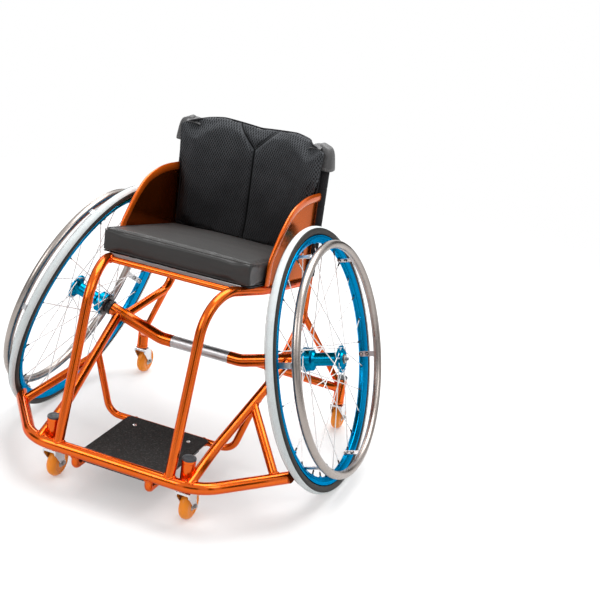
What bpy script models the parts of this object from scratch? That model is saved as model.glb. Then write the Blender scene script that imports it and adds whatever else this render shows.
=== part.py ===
"""Basketball wheelchair: a welded, cambered sports frame with bumper, two spoked wheels,
four casters, a dumped seat and a padded back. Metres, +Z up.

The chair faces -Y and the sitter's left is +X. Every left piece is made on +X and its right
twin is its mirror image. All pieces are laid out from the floor point below the middle of
the axle, and hang on an empty that puts the middle of the chair's footprint at the origin.
"""
import bpy
import bmesh
from math import cos, exp, pi, radians, sin, tan
from mathutils import Matrix, Vector

# Clearance between pieces that touch on the real chair
GAP = 0.0003

# Main wheels
TYRE_RADIUS = 0.320
TYRE_WIDTH = 0.0245
TYRE_HEIGHT = 0.0212
# The tyre's section from rim to crown, as shares of its height and of its half width
TYRE_SECTION = ((0.0, 0.80), (0.34, 1.0), (0.70, 0.86), (0.94, 0.42))
CAMBER = radians(16.5)
HALF_TRACK = 0.318              # wheel centre to the middle of the chair
RIM_WIDTH = 0.023
RIM_DEPTH = 0.019
SPOKE_COUNT = 28
SPOKE_RADIUS = 0.0010
SPOKE_TO_RIM = 0.00045
SPOKE_LEAN = 6                  # rim holes between a spoke's two ends, as an angle
SPOKE_SHIFT = 0.0013            # crossing spokes lie this far to each side of their flange
SPOKE_SPREAD = 0.0022           # and their rim holes this far from the rim's middle
HUB_INNER_END = -0.053          # along the axle, outwards from the wheel's mid-plane
HUB_OUTER_END = 0.056
FLANGE_RADIUS = 0.0325
FLANGE_THICKNESS = 0.0045
FLANGE_INNER = -0.0435
FLANGE_OUTER = 0.0485
BARREL_RADIUS = 0.0160
HUB_END_RADIUS = 0.0150
HUB_SHOULDER_RADIUS = 0.0170
HUB_FLARE_RADIUS = 0.0232
HUB_FLARE = 0.0100              # length of the flare between barrel and outer flange
HUB_DRUM_RADIUS = 0.0272        # the hub is a wide drum next to its inner flange
HUB_DRUM = 0.0165
HUB_DRUM_SHOULDER = 0.0080
INNER_FLANGE_RADIUS = 0.0302
HUB_COVER_RADIUS = 0.0285       # bearing cover on the inner flange
HUB_COVER = 0.0048
SPOKE_CIRCLE = 0.0275
PUSH_RIM_DROP = 0.0055          # its centre line lies this far inside the rim's bed
PUSH_RIM_TUBE = 0.0100
PUSH_RIM_OFFSET = 0.046
TAB_COUNT = 6
TAB_WIDTH = 0.014
TAB_THICKNESS = 0.0025
TAB_INNER_END = -0.006          # the tabs reach past the rim's middle
TURN_STEPS = 48                 # facets round a wheel
# How far each wheel has rolled on from the tabs' level position, in whole facets
WHEEL_SPIN = {"left": radians(-15), "right": radians(7.5)}

# Quick-release axles
PIN_RADIUS = 0.00635
PIN_DEPTH = 0.034               # how far the pin reaches into the axle tube
PIN_HEAD_RADIUS = 0.0095
PIN_HEAD_LENGTH = 0.004
COLLAR_RADIUS = 0.0190
COLLAR_LENGTH = 0.012
BUTTON_RADIUS = 0.0040
BUTTON_LENGTH = 0.013
BUTTON_PROUD = 0.006
BUTTON_TRAVEL = 0.004
BUTTON_ROOM = 0.001             # left under the button when it is pressed
PIN_TIP = 0.003
PIN_ROOM = 0.002
PINHOLE = 0.0008                # vent through the pin's middle

# Axle tube
AXLE_TUBE = 0.0158
SLEEVE_TUBE = 0.0152
SLEEVE_HALF = 0.079
AXLE_BEND_X = 0.111
AXLE_BEND = 0.080

# Front bumper
BUMPER_TUBE = 0.0140
BUMPER_Z = 0.107
BUMPER_Y = -0.4140
BUMPER_CORNER_X = 0.2120
WING_ANGLE = radians(50.8)
BUMPER_BEND = 0.105
WING_TO_TYRE = 0.006            # gap between a wing's cut end and the tyre

# Width between the side guards, which the seat, the rails, the posts and the back share
SEAT_HALF_WIDTH = 0.1865

# Side frames: upright and seat rail in one tube
FRAME_TUBE = 0.0115
FOOT_X = 0.1400
KNEE_Y = -0.3150
KNEE_BEND = 0.104
RAIL_X = SEAT_HALF_WIDTH + 0.0005
RAIL_SPLAY_Y = -0.1050
RAIL_BEND = 0.25
SEAT_FRONT_Y = -0.2050
SEAT_FRONT_Z = 0.4980           # height of the rail's centre at the seat's front edge
SEAT_SLOPE = 0.185
CROSS_TUBE = 0.0075
CROSS_TUBE_Y = -0.2195

# Back posts and the rear triangle
POST_TUBE = 0.0110
POST_X = SEAT_HALF_WIDTH + 0.0035
POST_Y = 0.1900
POST_TOP = 0.7640
POST_HEEL_Z = 0.3170
POST_HEEL_BEND = 0.045
POST_FOOT_X = 0.2200
DOWN_TUBE = 0.0080
DOWN_TUBE_TOP = 0.3360
REAR_STRUT_TUBE = 0.0110
REAR_STRUT_X = 0.1350
REAR_JOINT_Z = 0.1280
REAR_STRUT_DROP = 0.0030        # the strut meets the housing this far below the down tube

# Diagonals and wing struts
DIAGONAL_TOP_X = 0.2350
DIAGONAL_KNEE = Vector((0.1930, -0.3000, 0.1550))
DIAGONAL_FOOT_X = 0.1880
DIAGONAL_FOOT_RISE = 0.005
DIAGONAL_BEND = 0.6
WING_STRUT_TUBE = 0.0105
WING_STRUT_FOOT_X = 0.3324
WING_STRUT_TOP_Y = -0.1520

# Footplate
PLATE_TUBE = 0.0085
PLATE_TUBE_Y = -0.1300
PLATE_TUBE_X = 0.1680
PLATE_TUBE_BEND = 0.040
PLATE_RAIL_TUBE = 0.0088
PLATE_RAIL_X = 0.0930
PLATE_RAIL_Z = 0.0712
PLATE_RAIL_BEND = 0.012
PLATE_HALF_WIDTH = 0.1105
PLATE_REAR_Y = -0.1360
PLATE_THICKNESS = 0.0040
PLATE_CORNER = 0.015

# Casters
CASTER_RADIUS = 0.0350
CASTER_WIDTH = 0.0250
CASTER_TRAIL = 0.0270
CASTER_BOLT = 0.0040
CASTER_BOLT_PROUD = 0.0022
CASTER_HUB_SHARE = 0.52         # radius of the flat hub faces, as a share of the wheel's
FORK_WALL = 0.0030
FORK_SIDE_GAP = 0.0015
FORK_ARM = 0.0080               # half width of a fork leg
FORK_CROWN_GAP = 0.0050         # wheel's top to the underside of the crown
FORK_CROWN = 0.0065
FORK_CROWN_HALF = 0.0130
FORK_CHAMFER = 0.0015
FORK_SHOULDER = 0.0060          # below the crown's underside, where the legs begin
STEM_RADIUS = 0.0055
STEM_LENGTH = 0.055
STEM_ROOM = 0.002
HOUSING_VENT = 0.0023           # hole through the housing's roof, under its cap
CAP_OVERHANG = 1.03             # the caps' radius as a share of the housings'
HOUSING_LIFT = 0.0030           # crown to housing
HOUSING_NOTCH = 0.0025          # how deep the front housings sit in the bumper
FRONT_HOUSING_RADIUS = 0.0160
FRONT_HOUSING = Vector((0.1705, BUMPER_Y + BUMPER_TUBE + FRONT_HOUSING_RADIUS - HOUSING_NOTCH))
FRONT_HOUSING_TOP = 0.1590
REAR_HOUSING = Vector((0.2965, 0.2700))
REAR_HOUSING_RADIUS = 0.0150
REAR_HOUSING_TOP = 0.1560
HOUSING_CAP = 0.0045

# Seat and back
SLING_THICKNESS = 0.0030
CUSHION_HALF_WIDTH = SEAT_HALF_WIDTH
CUSHION_THICKNESS = 0.0540
CUSHION_CORNER = 0.026
CUSHION_CROWN = 0.006
CUSHION_DRAW = 0.0022
CUSHION_EDGE = 0.006
CUSHION_TO_POST = 0.003
SLING_TO_POST = 0.012
SLING_CORNER = 0.010
SLING_SET_BACK = 0.004          # from the cushion's front edge
# The cushion's crown: distance in from its edge and share of the full rise
CUSHION_DOME = ((0.035, 0.55), (0.085, 0.90), (0.135, 1.0))
PAD_HALF_WIDTH = SEAT_HALF_WIDTH - 0.0007
PAD_THICKNESS = 0.0360
PAD_TOP = 0.7850
PAD_PEAK = 0.51                 # where the top edge is highest, as a share of the half width
PAD_DIP = 0.0090                # how far the middle of the top edge lies below its peaks
PAD_SHOULDER = 0.0176           # and its corners
PAD_RELIEF = 0.022              # width of the back edge that is thinned ahead of the posts
PAD_SIDE_LEAD = 0.0150          # how far its sides bow forward
PAD_BACK_WIDTH = 0.985          # the back face's width as a share of the front's
PAD_EDGE_THIN = 0.45            # share of the thickness lost at the pad's rim
PAD_TO_CUSHION = 0.012
PAD_TO_SLING = 0.0008
PAD_TO_CAP = 0.0015
PAD_SAG = 0.046                 # how far the back's middle lies behind its sides
PAD_BOW = 2.2                   # how square that bow is
PAD_SEAM = 0.0075               # depth of the sewn channels
PAD_SEAM_WIDTH = 0.0065
PAD_APEX_Z = 0.7260
PAD_V_X = 0.0560
BACK_TO_CAP = 0.0010            # the sling ends just below the post caps
BACK_FRONT = 0.0090             # the back sling's front face ahead of the posts' axes
BOLSTER_Z = 0.5250
BOLSTER_RADIUS = 0.030
BOLSTER_TAPER = 0.35
BOLSTER_FLATNESS = 0.62
BOLSTER_TO_SLING = 0.002
BOLSTER_TO_POST = 0.0009
BOLSTER_AT_POST = 0.86          # share of the half width where the bolster passes the posts
BOLSTER_OVERLAP = 0.004
BOLSTER_FACETS = 14
CAP_RADIUS = 0.0230
CAP_TOP = 0.7750
CAP_BOTTOM = 0.7130
CAP_WALL = 0.0030
CAP_EDGE = 0.008
CAP_MOUTH = 0.020               # height of the flared mouth
CAP_PINHOLE = 0.0012
GUARD_INNER_X = SEAT_HALF_WIDTH + 0.0007
GUARD_THICKNESS = 0.0025
GUARD_BAND = 0.0220             # width of the thicker border along its edge
GUARD_BAND_THICKNESS = 0.0052
GUARD_RISE = 0.1712
GUARD_FRONT_Y = -0.1210
GUARD_TO_POST = 0.0040
# The guard's edge, as shares of its length and of its rise
GUARD_EDGE = (
    (0.0, 0.0), (0.007, 0.15), (0.017, 0.29), (0.045, 0.40), (0.10, 0.51), (0.223, 0.723),
    (0.39, 0.91), (0.569, 0.982), (0.747, 1.0), (0.949, 0.974), (1.0, 0.965),
)

LEFT, RIGHT = 1, -1
SIDES = (("left", LEFT), ("right", RIGHT))


def tyre_profile():
    """Radius and offset of the tyre's section, from its outer face over the crown."""
    seat = TYRE_RADIUS - TYRE_HEIGHT
    half = TYRE_WIDTH / 2
    upper = [(seat + TYRE_HEIGHT * up, half * out) for up, out in TYRE_SECTION]
    crown = [(TYRE_RADIUS, 0.0)]
    lower = [(radius, -offset) for radius, offset in reversed(upper)]
    return upper + crown + lower


# The wheels stand on the floor, so their section and camber set the axle's height
WHEEL_Z = max(radius * cos(CAMBER) - offset * sin(CAMBER) for radius, offset in tyre_profile())
RIM_RADIUS = TYRE_RADIUS - TYRE_HEIGHT - GAP
RIM_BED = RIM_RADIUS - RIM_DEPTH
RIM_BED_FLAT = RIM_BED * cos(pi / TURN_STEPS)   # nearest the hub, at the middle of a facet
PUSH_RIM_RADIUS = RIM_BED - PUSH_RIM_DROP

# Heights of the casters' pieces
CASTER_AXLE_Z = CASTER_RADIUS
CROWN_BOTTOM = 2 * CASTER_RADIUS + FORK_CROWN_GAP
CROWN_TOP = CROWN_BOTTOM + FORK_CROWN
HOUSING_BOTTOM = CROWN_TOP + HOUSING_LIFT

PLATE_BOTTOM = PLATE_RAIL_Z + PLATE_RAIL_TUBE + GAP
PLATE_TUBE_Z = PLATE_RAIL_Z + PLATE_RAIL_TUBE - PLATE_TUBE


def axle_z(x):
    """Height of the axle tube's centre at a distance from the middle of the chair."""
    outer = max(x, AXLE_BEND_X)
    return WHEEL_Z - (HALF_TRACK - outer) * tan(CAMBER)


def rail_z(y):
    """Height of the seat rails' centre: the seat falls towards the back."""
    return SEAT_FRONT_Z - SEAT_SLOPE * (y - SEAT_FRONT_Y)


def wing_y(x):
    """Line of the bumper's straight wing."""
    return BUMPER_Y + (x - BUMPER_CORNER_X) * tan(WING_ANGLE)


def axle_outward(side):
    """Unit vector along a wheel's axle, away from the chair."""
    return Vector((side * cos(CAMBER), 0, sin(CAMBER)))


def on_axle(side, distance):
    """Point on the wheel's axis, measured outwards from the wheel's mid-plane."""
    return Vector((side * HALF_TRACK, 0, WHEEL_Z)) + axle_outward(side) * distance


def wheel_matrix(side, distance=0.0):
    """Frame whose Z is the wheel's axis, pointing away from the chair."""
    turn = Matrix.Rotation(side * (pi / 2 - CAMBER), 4, "Y")
    return Matrix.Translation(on_axle(side, distance)) @ turn


def collection(name):
    group = bpy.data.collections.new(name)
    bpy.context.scene.collection.children.link(group)
    return group


for leftover in list(bpy.data.objects):
    bpy.data.objects.remove(leftover, do_unlink=True)
PARTS = collection("basketball_wheelchair")
CUTTERS = collection("cutters")


def material(name, colour, roughness, metallic=0.0):
    mat = bpy.data.materials.new(name)
    mat.use_nodes = True
    shader = mat.node_tree.nodes["Principled BSDF"]
    shader.inputs["Base Color"].default_value = (*colour, 1.0)
    shader.inputs["Roughness"].default_value = roughness
    shader.inputs["Metallic"].default_value = metallic
    return mat


ORANGE = material("candy_orange", (0.78, 0.16, 0.02), 0.28, 0.6)
BLUE = material("blue_anodised", (0.02, 0.22, 0.52), 0.3, 0.8)
STEEL = material("brushed_steel", (0.55, 0.50, 0.46), 0.35, 1.0)
SILVER = material("silver", (0.72, 0.72, 0.72), 0.25, 1.0)
BLACK = material("black_plastic", (0.02, 0.02, 0.022), 0.45)
TREAD = material("tyre_rubber", (0.62, 0.66, 0.66), 0.7)
CASTER_TYRE = material("orange_urethane", (0.95, 0.32, 0.03), 0.4)
GRIP = material("grip_tape", (0.03, 0.03, 0.03), 0.95)
LEATHER = material("grey_leather", (0.06, 0.06, 0.062), 0.5)
MESH_CLOTH = material("mesh_cloth", (0.03, 0.032, 0.035), 0.9)
WEBBING = material("black_webbing", (0.025, 0.025, 0.027), 0.85)


def add(name, mesh, mat=None, group=None):
    obj = bpy.data.objects.new(name, mesh)
    (group or PARTS).objects.link(obj)
    if mat:
        mesh.materials.append(mat)
    return obj


def smooth(obj, angle=40):
    obj.data.shade_smooth()
    obj.data.set_sharp_from_angle(angle=radians(angle))
    return obj


def as_cutter(obj):
    obj.hide_render = True
    obj.display_type = "WIRE"
    return obj


def boolean(obj, operation, other):
    mod = obj.modifiers.new(operation.lower() + "_" + other.name, "BOOLEAN")
    mod.operation = operation
    mod.solver = "EXACT"
    mod.object = other
    return obj


def from_bmesh(name, bm, mat=None, group=None):
    mesh = bpy.data.meshes.new(name)
    bmesh.ops.recalc_face_normals(bm, faces=bm.faces[:])
    bm.to_mesh(mesh)
    bm.free()
    return add(name, mesh, mat, group)


def rounded_path(corners, bends, steps=7):
    """Corner points joined by straight runs, with an arc of the given radius at each bend."""
    points = [Vector(corners[0])]
    for before, corner, after, bend in zip(corners, corners[1:], corners[2:], bends):
        back = (Vector(before) - Vector(corner)).normalized()
        ahead = (Vector(after) - Vector(corner)).normalized()
        half = back.angle(ahead) / 2
        reach = bend / tan(half)
        middle = Vector(corner) + (back + ahead).normalized() * bend / sin(half)
        start = Vector(corner) + back * reach - middle
        end = Vector(corner) + ahead * reach - middle
        sweep = start.angle(end)
        for step in range(steps + 1):
            share = step / steps
            weight = sin((1 - share) * sweep), sin(share * sweep)
            points.append(middle + (start * weight[0] + end * weight[1]) / sin(sweep))
    points.append(Vector(corners[-1]))
    return points


def mirrored(points, side):
    return [Vector((side * p[0], p[1], p[2])) for p in points]


def mesh_from_curve(name, curve, mat, group):
    """Turns a curve's solid into a mesh object whose caps are welded to its walls."""
    source = bpy.data.objects.new(name, curve)
    bpy.context.scene.collection.objects.link(source)
    bpy.context.view_layer.update()
    evaluated = source.evaluated_get(bpy.context.evaluated_depsgraph_get())
    mesh = bpy.data.meshes.new_from_object(evaluated)
    place = source.matrix_world.copy()
    bpy.data.objects.remove(source, do_unlink=True)
    bpy.data.curves.remove(curve)
    bm = bmesh.new()
    bm.from_mesh(mesh)
    bmesh.ops.remove_doubles(bm, verts=bm.verts[:], dist=1e-6)
    bmesh.ops.recalc_face_normals(bm, faces=bm.faces[:])
    bm.to_mesh(mesh)
    bm.free()
    mesh.name = name
    obj = add(name, mesh, mat, group)
    obj.matrix_world = place
    return obj


def poly_curve(name, points, dimensions):
    curve = bpy.data.curves.new(name, "CURVE")
    curve.dimensions = dimensions
    spline = curve.splines.new("POLY")
    spline.points.add(len(points) - 1)
    for slot, point in zip(spline.points, points):
        slot.co = (*point, 1.0)
    return curve, spline


def tube(name, points, radius, mat=None, group=None, sides=4):
    """A round tube along the points."""
    curve, _ = poly_curve(name, points, "3D")
    curve.twist_mode = "MINIMUM"
    curve.bevel_depth = radius
    curve.bevel_resolution = sides
    curve.use_fill_caps = True
    return smooth(mesh_from_curve(name, curve, mat, group))


def tube_cutter(name, points, radius):
    return as_cutter(tube(name, points, radius + GAP, group=CUTTERS))


def cylinder(name, start, end, radius, mat=None, group=None, facets=20):
    """A solid cylinder between two points, from the cone primitive."""
    start, end = Vector(start), Vector(end)
    axis = end - start
    bm = bmesh.new()
    bmesh.ops.create_cone(
        bm, cap_ends=True, segments=facets, radius1=radius, radius2=radius, depth=axis.length
    )
    obj = from_bmesh(name, bm, mat, group)
    turn = axis.to_track_quat("Z", "Y").to_matrix().to_4x4()
    obj.matrix_world = Matrix.Translation((start + end) / 2) @ turn
    return smooth(obj)


def turned(name, profile, steps, mat, place):
    """A closed (radius, height) profile turned about its own Z with a Screw modifier."""
    mesh = bpy.data.meshes.new(name)
    count = len(profile)
    edges = [(i, (i + 1) % count) for i in range(count)]
    mesh.from_pydata([(radius, 0, height) for radius, height in profile], edges, [])
    obj = add(name, mesh, mat)
    screw = obj.modifiers.new("turn", "SCREW")
    screw.axis = "Z"
    screw.angle = 2 * pi
    screw.steps = screw.render_steps = steps
    screw.use_merge_vertices = True
    screw.merge_threshold = 0.00001
    screw.use_smooth_shade = True
    obj.matrix_world = place
    return obj


def turned_mesh(name, profile, steps, mat, place, group=None):
    """The same turned shape with its Screw applied, for pieces that are cut or joined."""
    obj = turned(name, profile, steps, mat, place)
    bpy.context.view_layer.update()
    evaluated = obj.evaluated_get(bpy.context.evaluated_depsgraph_get())
    mesh = bpy.data.meshes.new_from_object(evaluated)
    bpy.data.objects.remove(obj, do_unlink=True)
    mesh.name = name
    made = add(name, mesh, None, group)
    made.matrix_world = place
    return smooth(made)


def outline_solid(name, corners, thickness, mat, place=Matrix(), group=None):
    """A flat outline in XY given half its thickness to each side."""
    curve, spline = poly_curve(name, [(x, y, 0) for x, y in corners], "2D")
    curve.fill_mode = "BOTH"
    curve.extrude = thickness / 2
    spline.use_cyclic_u = True
    obj = mesh_from_curve(name, curve, mat, group)
    obj.matrix_world = place
    return obj


def rounded_rectangle(x_min, x_max, y_min, y_max, corner, steps=4):
    """Outline points, anticlockwise, with round corners."""
    points = []
    centres = (
        (x_max - corner, y_max - corner, 0),
        (x_min + corner, y_max - corner, 1),
        (x_min + corner, y_min + corner, 2),
        (x_max - corner, y_min + corner, 3),
    )
    for x, y, quarter in centres:
        for step in range(steps + 1):
            angle = (quarter + step / steps) * pi / 2
            points.append((x + corner * cos(angle), y + corner * sin(angle)))
    return points


def fan(points):
    """Centre of a ring of points."""
    return sum((Vector(p) for p in points), Vector()) / len(points)


def loft(name, rings, mat):
    """A closed solid through rings of like point counts, its ends closed by fans."""
    bm = bmesh.new()
    made = [[bm.verts.new(p) for p in ring] for ring in rings]
    count = len(rings[0])
    for low, high in zip(made, made[1:]):
        for i in range(count):
            j = (i + 1) % count
            bm.faces.new((low[i], low[j], high[j], high[i]))
    for ring in (made[0], made[-1]):
        centre = bm.verts.new(fan([v.co for v in ring]))
        for i in range(count):
            bm.faces.new((ring[i], ring[(i + 1) % count], centre))
    return smooth(from_bmesh(name, bm, mat), 50)


# Routes of the frame's tubes, on the left side

def bumper_route():
    end_x = HALF_TRACK + TYRE_RADIUS * sin(CAMBER)
    half = [(end_x, wing_y(end_x), BUMPER_Z), (BUMPER_CORNER_X, BUMPER_Y, BUMPER_Z)]
    corners = half + mirrored(reversed(half), RIGHT)
    return rounded_path(corners, (BUMPER_BEND, BUMPER_BEND), steps=8)


def side_frame_route():
    corners = [
        (FOOT_X, BUMPER_Y, BUMPER_Z),
        (FOOT_X, KNEE_Y, rail_z(KNEE_Y)),
        (RAIL_X, RAIL_SPLAY_Y, rail_z(RAIL_SPLAY_Y)),
        (RAIL_X, POST_Y, rail_z(POST_Y)),
    ]
    return rounded_path(corners, (KNEE_BEND, RAIL_BEND), steps=6)


def axle_route():
    corners = [
        (SLEEVE_HALF + GAP, 0, axle_z(0)),
        (AXLE_BEND_X, 0, axle_z(0)),
        on_axle(LEFT, HUB_INNER_END - 2 * GAP - COLLAR_LENGTH),
    ]
    return rounded_path(corners, (AXLE_BEND,), steps=4)


def diagonal_route():
    foot = (DIAGONAL_FOOT_X, BUMPER_Y, BUMPER_Z + DIAGONAL_FOOT_RISE)
    top = (DIAGONAL_TOP_X, 0, axle_z(DIAGONAL_TOP_X))
    return rounded_path([foot, DIAGONAL_KNEE, top], (DIAGONAL_BEND,), steps=4)


def on_diagonal(y):
    """Point of the diagonal's upper straight run at a given Y."""
    top = Vector((DIAGONAL_TOP_X, 0, axle_z(DIAGONAL_TOP_X)))
    return top.lerp(DIAGONAL_KNEE, y / DIAGONAL_KNEE.y)


def wing_strut_route():
    return [Vector((WING_STRUT_FOOT_X, wing_y(WING_STRUT_FOOT_X), BUMPER_Z)), on_diagonal(WING_STRUT_TOP_Y)]


def plate_tube_route():
    half = [on_diagonal(PLATE_TUBE_Y), Vector((PLATE_TUBE_X, PLATE_TUBE_Y, PLATE_TUBE_Z))]
    corners = half + mirrored(reversed(half), RIGHT)
    return rounded_path(corners, (PLATE_TUBE_BEND, PLATE_TUBE_BEND), steps=6)


def plate_rail_route():
    corners = [
        (PLATE_RAIL_X, BUMPER_Y, BUMPER_Z),
        (PLATE_RAIL_X, BUMPER_Y, PLATE_RAIL_Z),
        (PLATE_RAIL_X, PLATE_TUBE_Y, PLATE_RAIL_Z),
    ]
    return rounded_path(corners, (PLATE_RAIL_BEND,), steps=4)


def post_route():
    corners = [
        (POST_FOOT_X, 0, axle_z(POST_FOOT_X)),
        (POST_X, POST_Y, POST_HEEL_Z),
        (POST_X, POST_Y, POST_TOP),
    ]
    return rounded_path(corners, (POST_HEEL_BEND,), steps=6)


def down_tube_route():
    return [Vector((POST_X, POST_Y, DOWN_TUBE_TOP)), Vector((*REAR_HOUSING, REAR_JOINT_Z))]


def rear_strut_route():
    return [
        Vector((REAR_STRUT_X, 0, axle_z(REAR_STRUT_X))),
        Vector((*REAR_HOUSING, REAR_JOINT_Z - REAR_STRUT_DROP)),
    ]


def at_y(points, y):
    """Point where a route first passes a given Y."""
    for here, ahead in zip(points, points[1:]):
        if here.y <= y < ahead.y:
            return here.lerp(ahead, (y - here.y) / (ahead.y - here.y))
    raise ValueError("the route doesn't pass this Y")


def cross_tube_route():
    end = at_y(side_frame_route(), CROSS_TUBE_Y)
    return mirrored([end], RIGHT) + [end]


def cut_wing_end(obj, side):
    """Cuts the bumper's wing parallel to the wheel, just inside the tyre."""
    inset = TYRE_WIDTH / 2 + WING_TO_TYRE
    bm = bmesh.new()
    bm.from_mesh(obj.data)
    cut = bmesh.ops.bisect_plane(
        bm, geom=bm.verts[:] + bm.edges[:] + bm.faces[:], dist=1e-7,
        plane_co=on_axle(side, -inset), plane_no=axle_outward(side), clear_outer=True,
    )
    rim = [item for item in cut["geom_cut"] if isinstance(item, bmesh.types.BMEdge)]
    bmesh.ops.contextual_create(bm, geom=rim)
    bmesh.ops.recalc_face_normals(bm, faces=bm.faces[:])
    bm.to_mesh(obj.data)
    bm.free()


def make_front():
    bumper = tube("front_bumper", bumper_route(), BUMPER_TUBE, ORANGE)
    for _, side in SIDES:
        cut_wing_end(bumper, side)
    smooth(bumper)


def housing(name, centre, radius, top, side, cutters):
    """A caster's bearing tube, with a blind bore from below for the fork's stem."""
    place = Matrix.Translation((side * centre.x, centre.y, 0))
    bore = STEM_RADIUS + GAP
    roof = CROWN_TOP + STEM_LENGTH + STEM_ROOM
    profile = [
        (radius, top), (radius, HOUSING_BOTTOM), (bore, HOUSING_BOTTOM), (bore, roof),
        (HOUSING_VENT, roof), (HOUSING_VENT, top),
    ]
    shell = turned_mesh(name, profile, 20, ORANGE, place)
    for cutter in cutters:
        boolean(shell, "DIFFERENCE", cutter)
    cylinder(
        name.replace("_housing", "_cap"),
        (side * centre.x, centre.y, top + GAP), (side * centre.x, centre.y, top + GAP + HOUSING_CAP),
        radius * CAP_OVERHANG, BLACK,
    )
    return shell


def make_frame():
    bumper_cutter = tube_cutter("bumper_cutter", bumper_route(), BUMPER_TUBE)
    side_cutters = []
    for label, side in SIDES:
        arm = tube(label + "_axle_arm", mirrored(axle_route(), side), AXLE_TUBE, ORANGE)
        bore = cylinder(
            label + "_axle_bore", on_axle(side, HUB_INNER_END - COLLAR_LENGTH - PIN_DEPTH - PIN_ROOM),
            on_axle(side, 0), PIN_RADIUS + GAP, group=CUTTERS, facets=16,
        )
        boolean(arm, "DIFFERENCE", as_cutter(bore))
        arm_cutter = tube_cutter(label + "_arm_cutter", mirrored(axle_route(), side), AXLE_TUBE)

        post = tube(label + "_back_post", mirrored(post_route(), side), POST_TUBE, ORANGE)
        boolean(post, "DIFFERENCE", arm_cutter)
        post_cutter = tube_cutter(label + "_post_cutter", mirrored(post_route(), side), POST_TUBE)

        frame = tube(label + "_side_frame", mirrored(side_frame_route(), side), FRAME_TUBE, ORANGE)
        boolean(frame, "DIFFERENCE", bumper_cutter)
        boolean(frame, "DIFFERENCE", post_cutter)
        side_cutters.append(
            tube_cutter(label + "_frame_cutter", mirrored(side_frame_route(), side), FRAME_TUBE)
        )

        front_centre = Vector((side * FRONT_HOUSING.x, FRONT_HOUSING.y, 0))
        front_cutter = as_cutter(cylinder(
            label + "_front_housing_cutter", front_centre + Vector((0, 0, HOUSING_BOTTOM)),
            front_centre + Vector((0, 0, FRONT_HOUSING_TOP + HOUSING_CAP + 2 * GAP)),
            FRONT_HOUSING_RADIUS * CAP_OVERHANG + GAP, group=CUTTERS,
        ))
        housing(label + "_front_housing", FRONT_HOUSING, FRONT_HOUSING_RADIUS, FRONT_HOUSING_TOP, side,
                [bumper_cutter])

        diagonal = tube(label + "_diagonal", mirrored(diagonal_route(), side), FRAME_TUBE, ORANGE)
        for cutter in (bumper_cutter, front_cutter, arm_cutter):
            boolean(diagonal, "DIFFERENCE", cutter)
        diagonal_cutter = tube_cutter(
            label + "_diagonal_cutter", mirrored(diagonal_route(), side), FRAME_TUBE
        )
        side_cutters.append(diagonal_cutter)

        strut = tube(label + "_wing_strut", mirrored(wing_strut_route(), side), WING_STRUT_TUBE, ORANGE)
        boolean(strut, "DIFFERENCE", bumper_cutter)
        boolean(strut, "DIFFERENCE", diagonal_cutter)

        rear_centre = Vector((side * REAR_HOUSING.x, REAR_HOUSING.y, 0))
        housing(label + "_rear_housing", REAR_HOUSING, REAR_HOUSING_RADIUS, REAR_HOUSING_TOP, side, [])
        rear_cutter = as_cutter(cylinder(
            label + "_rear_housing_cutter", rear_centre + Vector((0, 0, HOUSING_BOTTOM)),
            rear_centre + Vector((0, 0, REAR_HOUSING_TOP + HOUSING_CAP + 2 * GAP)),
            REAR_HOUSING_RADIUS * CAP_OVERHANG + GAP, group=CUTTERS,
        ))
        rear_strut = tube(label + "_rear_strut", mirrored(rear_strut_route(), side), REAR_STRUT_TUBE, ORANGE)
        boolean(rear_strut, "DIFFERENCE", arm_cutter)
        boolean(rear_strut, "DIFFERENCE", rear_cutter)
        rear_strut_cutter = tube_cutter(
            label + "_rear_strut_cutter", mirrored(rear_strut_route(), side), REAR_STRUT_TUBE
        )
        down = tube(label + "_down_tube", mirrored(down_tube_route(), side), DOWN_TUBE, ORANGE)
        for cutter in (post_cutter, rear_cutter, rear_strut_cutter):
            boolean(down, "DIFFERENCE", cutter)

        rail = tube(label + "_footplate_rail", mirrored(plate_rail_route(), side), PLATE_RAIL_TUBE, ORANGE)
        boolean(rail, "DIFFERENCE", bumper_cutter)

    cylinder("axle_sleeve", (-SLEEVE_HALF, 0, axle_z(0)), (SLEEVE_HALF, 0, axle_z(0)), SLEEVE_TUBE, SILVER)
    cross = tube("seat_front_tube", cross_tube_route(), CROSS_TUBE, ORANGE)
    plate_tube = tube("footplate_support_tube", plate_tube_route(), PLATE_TUBE, ORANGE)
    boolean(cross, "DIFFERENCE", side_cutters[0])
    boolean(cross, "DIFFERENCE", side_cutters[2])
    boolean(plate_tube, "DIFFERENCE", side_cutters[1])
    boolean(plate_tube, "DIFFERENCE", side_cutters[3])
    plate_tube_cutter = tube_cutter("plate_tube_cutter", plate_tube_route(), PLATE_TUBE)
    for label, _ in SIDES:
        boolean(bpy.data.objects[label + "_footplate_rail"], "DIFFERENCE", plate_tube_cutter)


def make_footplate():
    front = BUMPER_Y + PLATE_RAIL_BEND + GAP
    corners = rounded_rectangle(-PLATE_HALF_WIDTH, PLATE_HALF_WIDTH, front, PLATE_REAR_Y, PLATE_CORNER)
    outline_solid("footplate", corners, PLATE_THICKNESS, GRIP,
                  Matrix.Translation((0, 0, PLATE_BOTTOM + PLATE_THICKNESS / 2)))


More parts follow.
